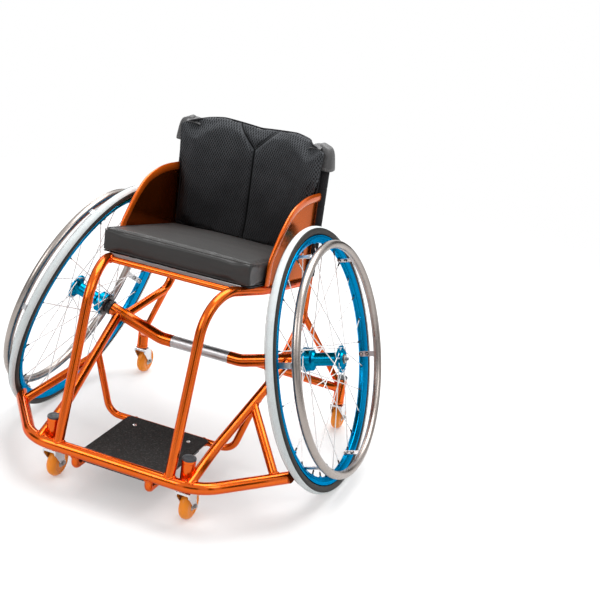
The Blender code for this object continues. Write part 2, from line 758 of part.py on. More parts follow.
def hub_profile():
    """The hub's section from its outer end to its inner end, with the bore for the axle pin."""
    half = FLANGE_THICKNESS / 2
    bore = PIN_RADIUS + GAP
    drum_end = FLANGE_INNER + half + HUB_DRUM
    cover_end = FLANGE_INNER - half - HUB_COVER
    return [
        (HUB_END_RADIUS, HUB_OUTER_END),
        (HUB_SHOULDER_RADIUS, FLANGE_OUTER + half),
        (FLANGE_RADIUS, FLANGE_OUTER + half),
        (FLANGE_RADIUS, FLANGE_OUTER - half),
        (HUB_FLARE_RADIUS, FLANGE_OUTER - half),
        (BARREL_RADIUS, FLANGE_OUTER - half - HUB_FLARE),
        (BARREL_RADIUS, drum_end + HUB_DRUM_SHOULDER),
        (HUB_DRUM_RADIUS, drum_end),
        (HUB_DRUM_RADIUS, FLANGE_INNER + half),
        (INNER_FLANGE_RADIUS, FLANGE_INNER + half),
        (INNER_FLANGE_RADIUS, FLANGE_INNER - half),
        (HUB_COVER_RADIUS, FLANGE_INNER - half),
        (HUB_COVER_RADIUS, cover_end),
        (HUB_END_RADIUS, cover_end),
        (HUB_END_RADIUS, HUB_INNER_END),
        (bore, HUB_INNER_END),
        (bore, HUB_OUTER_END),
    ]


def spoke_ends(hole):
    """Both ends of the spoke in a rim hole, in the wheel's own frame, axle along Z."""
    pitch = 2 * pi / SPOKE_COUNT
    angle = (hole + 0.5) * pitch
    outer_flange = hole % 2 == 0
    leading = 1 if hole % 4 < 2 else -1
    flange = FLANGE_OUTER if outer_flange else FLANGE_INNER
    hub_angle = angle - leading * SPOKE_LEAN * pitch
    shift = leading * SPOKE_SHIFT
    start = Vector((SPOKE_CIRCLE * cos(hub_angle), SPOKE_CIRCLE * sin(hub_angle), flange + shift))
    toward = SPOKE_SPREAD if outer_flange else -SPOKE_SPREAD
    reach = RIM_BED_FLAT - SPOKE_TO_RIM
    end = Vector((reach * cos(angle), reach * sin(angle), toward + shift))
    return start, end


def make_spokes(name, place):
    bm = bmesh.new()
    for hole in range(SPOKE_COUNT):
        start, end = spoke_ends(hole)
        axis = end - start
        turn = axis.to_track_quat("Z", "Y").to_matrix().to_4x4()
        bmesh.ops.create_cone(
            bm, cap_ends=True, segments=4, radius1=SPOKE_RADIUS, radius2=SPOKE_RADIUS,
            depth=axis.length, matrix=Matrix.Translation((start + end) / 2) @ turn,
        )
    obj = from_bmesh(name, bm, None, CUTTERS)
    obj.matrix_world = place
    return as_cutter(obj)


def push_rim_tabs(name, place):
    """Straps from under the rim's bed out to the push rim."""
    bm = bmesh.new()
    top = RIM_BED_FLAT - GAP
    outer_end = PUSH_RIM_OFFSET - PUSH_RIM_TUBE * 0.5
    for tab in range(TAB_COUNT):
        size = Matrix.Diagonal((TAB_THICKNESS, TAB_WIDTH, outer_end - TAB_INNER_END, 1))
        shift = Matrix.Translation((top - TAB_THICKNESS / 2, 0, (outer_end + TAB_INNER_END) / 2))
        turn = Matrix.Rotation(tab * 2 * pi / TAB_COUNT + pi / 2, 4, "Z")
        bmesh.ops.create_cube(bm, size=1, matrix=turn @ shift @ size)
    obj = from_bmesh(name, bm, None, CUTTERS)
    obj.matrix_world = place
    return as_cutter(obj)


def make_wheel(label, side):
    place = wheel_matrix(side)
    rolled = place @ Matrix.Rotation(WHEEL_SPIN[label], 4, "Z")
    turned(label + "_tyre", tyre_profile(), TURN_STEPS, TREAD, rolled)
    half = RIM_WIDTH / 2
    rim_profile = [
        (RIM_RADIUS, half * 0.96), (RIM_RADIUS, -half * 0.96), (RIM_RADIUS - RIM_DEPTH * 0.42, -half),
        (RIM_BED, -half * 0.40), (RIM_BED, half * 0.40), (RIM_RADIUS - RIM_DEPTH * 0.42, half),
    ]
    turned(label + "_rim", rim_profile, TURN_STEPS, BLUE, rolled)
    hub = turned_mesh(label + "_hub_and_spokes", hub_profile(), 20, BLUE, rolled)
    boolean(hub, "UNION", make_spokes(label + "_spokes", rolled))
    ring = [
        (PUSH_RIM_RADIUS + PUSH_RIM_TUBE * cos(a), PUSH_RIM_OFFSET + PUSH_RIM_TUBE * sin(a))
        for a in (pi / 2 - (k + 0.5) * pi / 4 for k in range(8))
    ]
    push_rim = turned_mesh(label + "_push_rim", ring, TURN_STEPS, STEEL, rolled)
    boolean(push_rim, "UNION", push_rim_tabs(label + "_tabs", rolled))

    collar_start = HUB_INNER_END - GAP
    bore = PIN_RADIUS + GAP
    turned(label + "_axle_collar", [
        (COLLAR_RADIUS, collar_start), (COLLAR_RADIUS, collar_start - COLLAR_LENGTH),
        (bore, collar_start - COLLAR_LENGTH), (bore, collar_start),
    ], 24, BLACK, place)

    head = HUB_OUTER_END + GAP
    head_end = head + PIN_HEAD_LENGTH
    socket = BUTTON_RADIUS + GAP
    socket_floor = head_end + BUTTON_PROUD - BUTTON_LENGTH - BUTTON_TRAVEL - BUTTON_ROOM
    pin_end = HUB_INNER_END - COLLAR_LENGTH - PIN_DEPTH
    turned(label + "_axle_pin", [
        (PIN_HEAD_RADIUS, head_end), (PIN_HEAD_RADIUS, head), (PIN_RADIUS, head),
        (PIN_RADIUS, pin_end + PIN_TIP), (PIN_RADIUS - PIN_TIP, pin_end), (PINHOLE, pin_end),
        (PINHOLE, socket_floor), (socket, socket_floor), (socket, head_end),
    ], 16, STEEL, place)
    button_end = head_end + BUTTON_PROUD
    button = cylinder(
        label + "_release_button", on_axle(side, button_end - BUTTON_LENGTH), on_axle(side, button_end),
        BUTTON_RADIUS, SILVER, facets=16,
    )
    return button


def fork_outline():
    """Side view of a fork in (Y, Z): a crown under the housing and legs that trail back."""
    leg_end = [-pi * 0.62 + step / 8 * pi for step in range(9)]
    points = [
        (CASTER_TRAIL + FORK_ARM * cos(angle), CASTER_AXLE_Z + FORK_ARM * sin(angle)) for angle in leg_end
    ]
    shoulder = CROWN_BOTTOM - FORK_SHOULDER
    half = FORK_CROWN_HALF
    return points + [
        (half + CASTER_TRAIL / 2, shoulder),
        (half, CROWN_TOP - FORK_CHAMFER),
        (half - FORK_CHAMFER, CROWN_TOP),
        (FORK_CHAMFER - half, CROWN_TOP),
        (-half, CROWN_TOP - FORK_CHAMFER),
        (FORK_CHAMFER / 2 - half, shoulder),
    ]


def make_caster(label, end, centre, side):
    """Fork with stem and bolt in one, and the wheel that runs on the bolt."""
    origin = Vector((side * centre.x, centre.y, 0))
    inner = CASTER_WIDTH / 2 + FORK_SIDE_GAP
    outer = inner + FORK_WALL
    lying = Matrix(((0, 0, 1, 0), (1, 0, 0, 0), (0, 1, 0, 0), (0, 0, 0, 1)))
    name = label + "_" + end + "_fork"
    fork = outline_solid(name, fork_outline(), 2 * outer, SILVER, Matrix.Translation(origin) @ lying)

    bm = bmesh.new()
    size = Matrix.Diagonal((2 * inner, 4 * CASTER_RADIUS, CROWN_BOTTOM, 1))
    bmesh.ops.create_cube(bm, size=1, matrix=Matrix.Translation((0, 0, CROWN_BOTTOM / 2)) @ size)
    slot = from_bmesh(name + "_slot", bm, None, CUTTERS)
    slot.location = origin
    boolean(fork, "DIFFERENCE", as_cutter(slot))
    axle = origin + Vector((0, CASTER_TRAIL, CASTER_AXLE_Z))
    reach = Vector((outer + CASTER_BOLT_PROUD, 0, 0))
    bolt = cylinder(name + "_bolt", axle - reach, axle + reach, CASTER_BOLT, group=CUTTERS, facets=12)
    boolean(fork, "UNION", as_cutter(bolt))
    stem = cylinder(
        name + "_stem", origin + Vector((0, 0, CROWN_TOP - FORK_CROWN / 2)),
        origin + Vector((0, 0, CROWN_TOP + STEM_LENGTH)), STEM_RADIUS, group=CUTTERS, facets=16,
    )
    boolean(fork, "UNION", as_cutter(stem))

    half = CASTER_WIDTH / 2
    bore = CASTER_BOLT + GAP
    rounding = [
        (CASTER_RADIUS - half * 0.9 * (1 - cos(a)), half * sin(a))
        for a in (radians(75 - 30 * step) for step in range(6))
    ]
    face = CASTER_RADIUS * CASTER_HUB_SHARE
    profile = [(face, half)] + rounding + [(face, -half), (bore, -half), (bore, half)]
    turned(label + "_" + end + "_caster_wheel", profile, 24, CASTER_TYRE,
           Matrix.Translation(axle) @ Matrix.Rotation(pi / 2, 4, "Y"))


def on_seat(points, lift):
    """Outline points laid on the sloping seat, at a height above the rails' centre."""
    return [Vector((x, y, rail_z(y) + lift)) for x, y in points]


def inset_outline(margin, y_back, corner):
    return rounded_rectangle(
        -CUSHION_HALF_WIDTH + margin, CUSHION_HALF_WIDTH - margin,
        SEAT_FRONT_Y + margin, y_back - margin, max(corner - margin * 0.6, 0.004), steps=5,
    )


def make_seat():
    sling_low = FRAME_TUBE + GAP
    sling_back = POST_Y - POST_TUBE - SLING_TO_POST
    sling_front = SEAT_FRONT_Y + SLING_SET_BACK
    sling = rounded_rectangle(-RAIL_X, RAIL_X, sling_front, sling_back, SLING_CORNER, steps=2)
    loft("seat_sling", [on_seat(sling, sling_low), on_seat(sling, sling_low + SLING_THICKNESS)], WEBBING)

    low = sling_low + SLING_THICKNESS + GAP
    high = low + CUSHION_THICKNESS
    back = POST_Y - POST_TUBE - CUSHION_TO_POST
    levels = [
        (CUSHION_EDGE * 0.6, low), (0.0, low + CUSHION_EDGE), (CUSHION_DRAW, (low + high) / 2),
        (0.0, high - CUSHION_EDGE), (CUSHION_EDGE * 0.7, high),
    ]
    levels += [(margin, high + CUSHION_CROWN * rise) for margin, rise in CUSHION_DOME]
    rings = [on_seat(inset_outline(margin, back, CUSHION_CORNER), lift) for margin, lift in levels]
    loft("seat_cushion", rings, LEATHER)


def sag(x, depth):
    """How far the back lies behind the posts' line: a shallow bow between them."""
    share = min(abs(x) / POST_X, 1.0)
    return depth * (1 - share ** PAD_BOW)


def seam_distance(x, z):
    """Distance from a point of the back to the sewn lines: a V and a seam down from it."""
    x = abs(x)
    top = Vector((PAD_V_X, PAD_TOP))
    apex = Vector((0, PAD_APEX_Z))
    point = Vector((x, z))
    along = top - apex
    share = min(max((point - apex).dot(along) / along.length_squared, 0), 1)
    arm = (point - (apex + along * share)).length
    seam = x if z < PAD_APEX_Z else (point - apex).length
    return min(arm, seam)


def pad_top(u):
    """Height of the pad's top edge, highest between the middle and each corner."""
    share = abs(u)
    if share < PAD_PEAK:
        return PAD_TOP - PAD_DIP * (1 - share / PAD_PEAK)
    return PAD_TOP - PAD_SHOULDER * ((share - PAD_PEAK) / (1 - PAD_PEAK)) ** 1.5


def pad_point(u, v, front):
    """A point of the back pad; u and v run from -1 to 1 across and up it."""
    bottom = rail_z(POST_Y) + FRAME_TUBE + SLING_THICKNESS + CUSHION_THICKNESS + PAD_TO_CUSHION
    up = (v + 1) / 2
    z = bottom + up * (PAD_TOP - bottom) - up ** 3 * (PAD_TOP - pad_top(u))
    x = u * PAD_HALF_WIDTH
    sling_y = POST_Y - BACK_FRONT - PAD_TO_SLING + sag(x, PAD_SAG)
    cap_y = POST_Y - CAP_RADIUS - PAD_TO_CAP
    ramp = (PAD_HALF_WIDTH - abs(x)) / PAD_RELIEF - 1
    back_y = min(sling_y, cap_y + max(ramp, 0) * (sling_y - cap_y))
    if not front:
        return Vector((x * PAD_BACK_WIDTH, back_y, z))
    edge = max(abs(u), abs(v)) ** 8
    front_y = sling_y - PAD_THICKNESS * (1 - PAD_EDGE_THIN * edge) - PAD_SIDE_LEAD * abs(u) ** 6
    channel = PAD_SEAM * exp(-(seam_distance(x, z) / PAD_SEAM_WIDTH) ** 2)
    return Vector((x, front_y + channel, z))


def make_back():
    columns, rows = 22, 16
    bm = bmesh.new()
    bmesh.ops.create_grid(bm, x_segments=columns, y_segments=rows, size=1)
    grid = bm.faces[:]
    made = bmesh.ops.extrude_face_region(bm, geom=grid)
    far = {item for item in made["geom"] if isinstance(item, bmesh.types.BMVert)}
    for vert in bm.verts:
        vert.co = pad_point(vert.co.x, vert.co.y, vert not in far)
    smooth(from_bmesh("back_pad", bm, MESH_CLOTH), 60)

    steps = 12
    sling_x = POST_X - POST_TUBE - GAP
    bottom = rail_z(POST_Y) + FRAME_TUBE
    top = CAP_BOTTOM - BACK_TO_CAP
    front_line = []
    back_line = []
    for step in range(steps + 1):
        x = -sling_x + 2 * sling_x * step / steps
        y = POST_Y + sag(x, PAD_SAG) - BACK_FRONT
        front_line.append((x, y))
        back_line.append((x, y + SLING_THICKNESS))
    outline = front_line + list(reversed(back_line))
    middle = Matrix.Translation((0, 0, (top + bottom) / 2))
    outline_solid("back_sling", outline, top - bottom, WEBBING, middle)


def bolster_ring(x):
    """Oval section of the bolster behind the back, drawn in towards its ends."""
    share = abs(x) / POST_X
    radius = BOLSTER_RADIUS * (1 - BOLSTER_TAPER * share ** 4)
    depth = radius * BOLSTER_FLATNESS
    y = POST_Y + sag(x, PAD_SAG) - BACK_FRONT + SLING_THICKNESS + BOLSTER_TO_SLING + depth
    if share > BOLSTER_AT_POST:
        y = max(y, POST_Y + POST_TUBE + BOLSTER_TO_POST + depth)
    angles = [2 * pi * step / BOLSTER_FACETS for step in range(BOLSTER_FACETS)]
    return [Vector((x, y + depth * cos(a), BOLSTER_Z + radius * sin(a))) for a in angles]


def make_bolster():
    reach = POST_X + BOLSTER_OVERLAP
    half = [0, 0.35, 0.6, 0.8, 0.94, 1]
    stations = [-reach * share for share in half[:0:-1]] + [reach * share for share in half]
    loft("back_bolster", [bolster_ring(x) for x in stations], LEATHER)


def make_post_cap(label, side):
    """A folded leather cap over a post's upper end, open below."""
    inner = POST_TUBE + GAP
    profile = [
        (CAP_PINHOLE, CAP_TOP), (CAP_RADIUS * 0.74, CAP_TOP), (CAP_RADIUS * 0.92, CAP_TOP - CAP_EDGE),
        (CAP_RADIUS, CAP_BOTTOM), (CAP_RADIUS - CAP_WALL, CAP_BOTTOM), (inner, CAP_BOTTOM + CAP_MOUTH),
        (inner, POST_TOP + GAP), (CAP_PINHOLE, POST_TOP + GAP),
    ]
    turned(label + "_post_cap", profile, 18, LEATHER, Matrix.Translation((side * POST_X, POST_Y, 0)))


def make_guard(label, side):
    """A plate on the seat rail with a thicker border along its curved front and top edge."""
    base = rail_z(GUARD_FRONT_Y) + FRAME_TUBE + GAP
    rear = POST_Y - POST_TUBE - GUARD_TO_POST
    length = rear - GUARD_FRONT_Y
    edge = [Vector((GUARD_FRONT_Y + along * length, base + up * GUARD_RISE)) for along, up in GUARD_EDGE]
    foot = Vector((rear, rail_z(rear) + FRAME_TUBE + GAP))
    inset = [edge[0] + (foot - edge[0]).normalized() * GUARD_BAND]
    for before, here, after in zip(edge, edge[1:], edge[2:]):
        along = (after - before).normalized()
        inset.append(here + Vector((along.y, -along.x)) * GUARD_BAND)
    inset.append(edge[-1] - Vector((0, GUARD_BAND)))

    def standing(thickness):
        upright = Matrix(((0, 0, 1, 0), (1, 0, 0, 0), (0, 1, 0, 0), (0, 0, 0, 1)))
        return Matrix.Translation((side * (GUARD_INNER_X + thickness / 2), 0, 0)) @ upright

    plate = outline_solid(label + "_side_guard", [foot] + edge, GUARD_THICKNESS, ORANGE,
                          standing(GUARD_THICKNESS))
    band = outline_solid(label + "_guard_band", edge + inset[::-1], GUARD_BAND_THICKNESS, None,
                         standing(GUARD_BAND_THICKNESS), CUTTERS)
    boolean(plate, "UNION", as_cutter(band))


def build():
    make_front()
    make_frame()
    make_footplate()
    for label, side in SIDES:
        make_wheel(label, side)
        make_caster(label, "front", FRONT_HOUSING, side)
        make_caster(label, "rear", REAR_HOUSING, side)
        make_post_cap(label, side)
        make_guard(label, side)
    make_seat()
    make_back()
    make_bolster()

    front_end = BUMPER_Y - BUMPER_TUBE
    rear_end = REAR_HOUSING.y + CASTER_TRAIL + CASTER_RADIUS
    chair = add("chair", None)
    chair.location.y = -(front_end + rear_end) / 2
    for obj in PARTS.objects[:] + CUTTERS.objects[:]:
        if obj is not chair:
            obj.parent = chair


build()
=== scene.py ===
# A cambered basketball wheelchair with its full finish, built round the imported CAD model
import math

import bmesh
import bpy
import numpy as np
from mathutils import Matrix, Vector
from mathutils.bvhtree import BVHTree


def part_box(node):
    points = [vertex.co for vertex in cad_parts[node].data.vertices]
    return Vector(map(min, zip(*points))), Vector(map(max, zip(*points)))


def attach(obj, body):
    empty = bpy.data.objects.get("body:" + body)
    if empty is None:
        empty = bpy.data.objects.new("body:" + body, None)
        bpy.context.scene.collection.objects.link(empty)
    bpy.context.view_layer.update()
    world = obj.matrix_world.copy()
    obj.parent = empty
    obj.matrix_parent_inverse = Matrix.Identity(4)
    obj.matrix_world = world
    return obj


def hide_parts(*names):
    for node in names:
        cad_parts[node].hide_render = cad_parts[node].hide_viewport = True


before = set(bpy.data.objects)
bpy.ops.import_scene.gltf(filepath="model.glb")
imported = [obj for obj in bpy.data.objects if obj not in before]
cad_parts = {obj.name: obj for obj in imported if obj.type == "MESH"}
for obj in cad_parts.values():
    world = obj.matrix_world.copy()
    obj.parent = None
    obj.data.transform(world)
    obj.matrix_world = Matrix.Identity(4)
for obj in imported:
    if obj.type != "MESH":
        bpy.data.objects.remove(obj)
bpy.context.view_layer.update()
scene = bpy.context.scene
sides = {"left": 1, "right": -1}


def unit(vector):
    vector = np.asarray(vector, float)
    return vector / np.linalg.norm(vector)


def units(rows):
    return rows / np.linalg.norm(rows, axis=1)[:, None]


def camel(nodeName):
    first, *rest = nodeName.split("_")
    return first + "".join(word.capitalize() for word in rest)


# Everything below is laid out from the floor point under the middle of the axle
bumper = {"tube": 0.0140, "z": 0.107, "y": -0.4140, "corner": 0.2120, "wing": math.radians(50.8), "bend": 0.105}
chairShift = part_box("front_bumper")[0][1] - (bumper["y"] - bumper["tube"])
chair = Matrix.Translation((0, chairShift, 0))


class Wire:
    # an output socket; arithmetic on it adds the Math nodes that work it out
    def __init__(self, sheet, socket):
        self.sheet = sheet
        self.socket = socket

    def worked(self, operation, first, second):
        return self.sheet.node("ShaderNodeMath", {"operation": operation}, {0: first, 1: second})

    def __add__(self, other):
        return self.worked("ADD", self, other)

    def __sub__(self, other):
        return self.worked("SUBTRACT", self, other)

    def __rsub__(self, other):
        return self.worked("SUBTRACT", other, self)

    def __mul__(self, other):
        return self.worked("MULTIPLY", self, other)

    def sine(self):
        return self.worked("SINE", self, 0.0)

    def size(self):
        return self.worked("ABSOLUTE", self, 0.0)

    __radd__ = __add__
    __rmul__ = __mul__


class NodeSheet:
    # a node tree, and the one way of adding to it
    def __init__(self, tree):
        self.tree = tree

    def node(self, kind, settings=None, sockets=None, output=0):
        made = self.tree.nodes.new(kind)
        for key, value in (settings or {}).items():
            setattr(made, key, value)
        self.feed(made, sockets or {})
        return Wire(self, made.outputs[output])

    def feed(self, made, sockets):
        for key, value in sockets.items():
            socket = made.inputs[key]
            if isinstance(value, Wire):
                self.tree.links.new(value.socket, socket)
            elif socket.type == "RGBA" and len(value) == 3:
                socket.default_value = (*value, 1.0)
            else:
                socket.default_value = value


class Finish(NodeSheet):
    # a material built round one Principled shader
    def __init__(self, name, sockets):
        self.material = bpy.data.materials.new(name)
        self.material.use_nodes = True
        super().__init__(self.material.node_tree)
        self.shader = self.tree.nodes["Principled BSDF"]
        self.feed(self.shader, sockets)

    def spot(self):
        return self.node("ShaderNodeTexCoord", output=3)

    def laid(self):
        return self.node("ShaderNodeAttribute", {"attribute_name": "lay"}, output=1)

    def apart(self, vector):
        return [self.node("ShaderNodeSeparateXYZ", {}, {0: vector}, output) for output in range(3)]

    def scaled(self, vector, amounts):
        return self.node("ShaderNodeVectorMath", {"operation": "MULTIPLY"}, {0: vector, 1: amounts})

    def reach(self, vector):
        return self.node("ShaderNodeVectorMath", {"operation": "LENGTH"}, {0: vector}, 1)

    def noise(self, scale, detail=2.0, where=None, roughness=0.5):
        sockets = {"Vector": where or self.spot(), "Scale": scale, "Detail": detail, "Roughness": roughness}
        return self.node("ShaderNodeTexNoise", {}, sockets)

    def cells(self, scale, where=None, feature="F1"):
        sockets = {"Vector": where or self.spot(), "Scale": scale}
        return self.node("ShaderNodeTexVoronoi", {"feature": feature}, sockets)

    def mix(self, first, second, share):
        return self.node("ShaderNodeMix", {"data_type": "RGBA"}, {0: share, 6: first, 7: second}, 2)

    def eased(self, value, low, high, start=0.0, end=1.0):
        sockets = {"Value": value, "From Min": low, "From Max": high, "To Min": start, "To Max": end}
        return self.node("ShaderNodeMapRange", {"interpolation_type": "SMOOTHSTEP"}, sockets)

    def bump(self, height, strength, distance=0.001):
        return self.node("ShaderNodeBump", {}, {"Height": height, "Strength": strength, "Distance": distance})

    def surface(self, colour, roughness, normal, more=None):
        self.feed(self.shader, {"Base Color": colour, "Roughness": roughness, "Normal": normal})
        self.feed(self.shader, more or {})
        return self.material


def candyPaint(name, colours):
    # clear orange lacquer over bright metal, with fine flake and faint handling marks
    finish = Finish(name, {"Metallic": colours["metal"], "Coat Roughness": 0.04, "Specular IOR Level": 0.4,
                           "Specular Tint": colours["edge"]})
    flake = finish.noise(1100, 2)
    cloud = finish.noise(14, 3)
    scuff = finish.eased(finish.noise(55, 5, roughness=0.7), 0.60, 0.72)
    tone = finish.mix(colours["deep"], colours["bright"], 0.15 + flake * 0.25 + cloud * 0.45)
    skin = finish.bump(finish.noise(220, 3), 0.03, 0.0004)
    return finish.surface(finish.mix(tone, colours["worn"], scuff * 0.15),
                          0.16 + scuff * 0.10 + flake * 0.05, skin,
                          {"Coat Weight": (1 - scuff * 0.35) * colours["coat"]})


def metalFinish(name, look):
    # turned or brushed metal; the brushing runs round local Z where look["turned"] is set
    finish = Finish(name, {"Metallic": look.get("metallic", 1.0), "Specular Tint": look.get("edge", (1, 1, 1))})
    where = finish.spot()
    if look.get("turned"):
        z = finish.apart(where)[2]
        reach = finish.reach(finish.scaled(where, (1, 1, 0)))
        lines = finish.noise(1.0, 2, finish.node("ShaderNodeCombineXYZ", {}, {0: reach * 2600, 1: z * 2600}))
    else:
        lines = finish.noise(1.0, 2, finish.scaled(where, look.get("grain", (160, 2200, 2200))))
    cloud = finish.noise(30, 4, where)
    tone = finish.mix(look["dark"], look["light"], lines * 0.6 + cloud * 0.4)
    return finish.surface(tone, look["roughness"] + lines * 0.10 + cloud * 0.08,
                          finish.bump(lines, look.get("bump", 0.05), 0.0002))


def mouldedFinish(name, look):
    # rubber, urethane and plastics: even colour with a fine moulded skin
    finish = Finish(name, {"Specular IOR Level": look.get("specular", 0.4),
                           "Subsurface Weight": look.get("glow", 0.0)})
    grain = finish.noise(look.get("grain", 900), 3)
    cloud = finish.noise(18, 4)
    return finish.surface(finish.mix(look["dark"], look["light"], grain * 0.4 + cloud * 0.6),
                          look["roughness"] + cloud * 0.16, finish.bump(grain, look.get("bump", 0.12), 0.0003))


def treadFinish(name):
    # pale rubber with a fine file tread, cut in diamonds round the tyre
    look = {"radius": 0.32, "pitch": 0.0042, "clean": (0.84, 0.89, 0.895), "dirty": (0.44, 0.485, 0.49)}
    finish = Finish(name, {"Specular IOR Level": 0.3})
    where = finish.spot()
    x, y, z = finish.apart(where)
    around = finish.node("ShaderNodeMath", {"operation": "ARCTAN2"}, {0: y, 1: x}) * look["radius"]
    turn = 2 * math.pi / look["pitch"]
    ridges = ((around + z) * turn).sine() * ((around - z) * turn).sine()
    cut = finish.eased(ridges.size(), 0.05, 0.45)
    grime = finish.noise(26, 5, where, 0.65)
    tone = finish.mix(look["dirty"], look["clean"], cut * 0.8 + (grime - 0.5) * 0.6 + 0.15)
    return finish.surface(tone, 0.62 + grime * 0.2, finish.bump(cut, 0.5, 0.0005))


def gripFinish(name):
    # coarse black grit on the footplate
    finish = Finish(name, {"Specular IOR Level": 0.15})
    grit = finish.cells(620)
    worn = finish.noise(16, 4, roughness=0.6)
    glint = finish.eased(finish.noise(340, 2), 0.56, 0.70)
    tone = finish.mix((0.052, 0.049, 0.047), (0.014, 0.014, 0.014), finish.eased(grit, 0.15, 0.6))
    tone = finish.mix(tone, (0.17, 0.165, 0.16), glint * 0.45)
    return finish.surface(finish.mix(tone, (0.065, 0.061, 0.058), worn * 0.30), 0.72 + worn * 0.2,
                          finish.bump(1.0 - grit, 0.8, 0.0007))


def leatherFinish(name, look):
    # coated leathercloth with a pebbled skin and soft creases
    finish = Finish(name, {"Specular IOR Level": look.get("specular", 0.5), "Sheen Weight": 0.08,
                           "Sheen Roughness": 0.4})
    where = finish.spot()
    pebble = finish.cells(look.get("pebble", 620), where, "DISTANCE_TO_EDGE")
    skin = finish.eased(pebble, 0.0, 0.12)
    crease = finish.noise(1.0, 4, finish.scaled(where, look.get("crease", (22, 70, 60))), 0.55)
    tone = finish.mix(look["dark"], look["light"], skin * 0.35 + crease * 0.65)
    height = skin * 0.25 + crease * look.get("depth", 1.4)
    return finish.surface(tone, look["roughness"] + crease * 0.16,
                          finish.bump(height, look.get("bump", 0.3), 0.0012))


def spacerMesh(name, sewn):
    # knitted spacer cloth: rows of small open dimples in a dark knit, with painted shade along the sewn channels
    # and painted shade darkening it towards the bottom
    look = {"across": 0.0066, "up": 0.0112, "hole": (0.005, 0.005, 0.0055), "knit": (0.020, 0.021, 0.023),
            "lit": (0.165, 0.174, 0.187)}
    finish = Finish(name, {"Specular IOR Level": 0.06, "Sheen Weight": 0.03, "Sheen Roughness": 0.5})
    across, up, _ = finish.apart(finish.laid())
    sideways, _, height = finish.apart(finish.spot())
    slope = sewn["veeX"] / (sewn["top"] - sewn["apex"])
    arm = finish.node("ShaderNodeMath", {"operation": "MAXIMUM"}, {0: (height - sewn["apex"]) * slope, 1: 0.0})
    gap = (sideways.size() - arm).size()
    # painted shade: the cloth is mixed towards black along the sewn channels, where shade falls in the crease
    seam = finish.eased(gap, 0.0008, 0.0034, 1.0, 0.0)
    paintedShadeByHeight = finish.eased(height, 0.49, 0.76, 0.30, 1.0)  # painted shade: the knit darkens towards the bottom of the pad and is lighter at the top, as the light falls
    turns = [2 * math.pi / look[way] for way in ("across", "up")]
    wave = (across * turns[0]).sine() * (up * turns[1]).sine()
    dimple = finish.eased(wave, -0.25, 0.50) * finish.eased(gap, 0.002, 0.007)
    knit = ((across * (turns[0] * 5)).sine() * (up * (turns[1] * 10)).sine()).size()
    patch = finish.noise(20, 3)
    tone = finish.mix(look["knit"], look["lit"], knit * 0.4 + patch * 0.6)
    # the painted shade by height mixes the knit towards the dark hole colour low on the pad
    tone = finish.mix(look["hole"], finish.mix(tone, look["hole"], dimple * 0.80), paintedShadeByHeight)
    # here the painted shade of the sewn channels is mixed in
    return finish.surface(finish.mix(tone, (0.002, 0.002, 0.002), seam * 0.92), 0.70 + patch * 0.15,
                          finish.bump(knit * 0.25 + patch * 0.1 - dimple, 0.7, 0.0011))


def wovenFinish(name, look):
    # webbing and canvas: ribs along lay X crossed by fine threads along lay Y
    finish = Finish(name, {"Specular IOR Level": 0.08, "Sheen Weight": look.get("sheen", 0.06)})
    across, along, _ = finish.apart(finish.laid())
    ribs = (along * (math.pi / look["rib"])).sine().size()
    threads = (across * (math.pi / look["thread"])).sine().size()
    fluff = finish.noise(60, 4)
    weave = ribs * 0.6 + threads * 0.4
    return finish.surface(finish.mix(look["dark"], look["light"], weave * 0.6 + fluff * 0.4),
                          0.78 + fluff * 0.12, finish.bump(weave, look.get("bump", 0.5), 0.0005))


framePaint = candyPaint("framePaint", {
    "deep": (0.50, 0.058, 0.002), "bright": (0.84, 0.152, 0.005), "worn": (0.92, 0.32, 0.07),
    "edge": (1.0, 0.41, 0.13), "coat": 0.30, "metal": 0.9})
# the guard's sheet: the frame's orange painted darker, as painted shade
shadedGuardPaint = candyPaint("shadedGuardPaint", {
    "deep": (0.30, 0.038, 0.002), "bright": (0.62, 0.120, 0.004), "worn": (0.75, 0.24, 0.05),
    "edge": (0.88, 0.60, 0.50), "coat": 0.08, "metal": 0.95})
# the guard's rolled border: the same orange painted brighter, as painted light
litBorderPaint = candyPaint("litBorderPaint", {
    "deep": (0.60, 0.070, 0.002), "bright": (0.86, 0.158, 0.005), "worn": (0.92, 0.32, 0.07),
    "edge": (1.0, 0.60, 0.35), "coat": 0.30, "metal": 0.45})
rimBlue = metalFinish("rimBlue", {"dark": (0.0, 0.145, 0.32), "light": (0.003, 0.29, 0.60), "roughness": 0.16,
                                  "turned": True, "edge": (0.25, 0.68, 0.95)})
hubBlue = metalFinish("hubBlue", {"dark": (0.0, 0.13, 0.24), "light": (0.002, 0.24, 0.42), "roughness": 0.18,
                                  "turned": True, "edge": (0.15, 0.60, 0.85)})
pushRimMetal = metalFinish("pushRimMetal", {"dark": (0.24, 0.21, 0.19), "light": (0.46, 0.41, 0.38),
                                            "roughness": 0.19, "turned": True})
brushedAlu = metalFinish("brushedAlu", {"dark": (0.45, 0.45, 0.46), "light": (0.72, 0.72, 0.73),
                                        "roughness": 0.26, "grain": (60, 1800, 1800)})
forkAlu = metalFinish("forkAlu", {"dark": (0.52, 0.52, 0.53), "light": (0.80, 0.80, 0.81), "roughness": 0.13})
brightSteel = metalFinish("brightSteel", {"dark": (0.60, 0.59, 0.58), "light": (0.82, 0.81, 0.80),
                                          "roughness": 0.16})
spokeSteel = metalFinish("spokeSteel", {"dark": (0.78, 0.775, 0.77), "light": (0.95, 0.945, 0.94),
                                        "roughness": 0.26, "metallic": 0.25})
boltSteel = metalFinish("boltSteel", {"dark": (0.30, 0.29, 0.28), "light": (0.52, 0.50, 0.48),
                                      "roughness": 0.28})
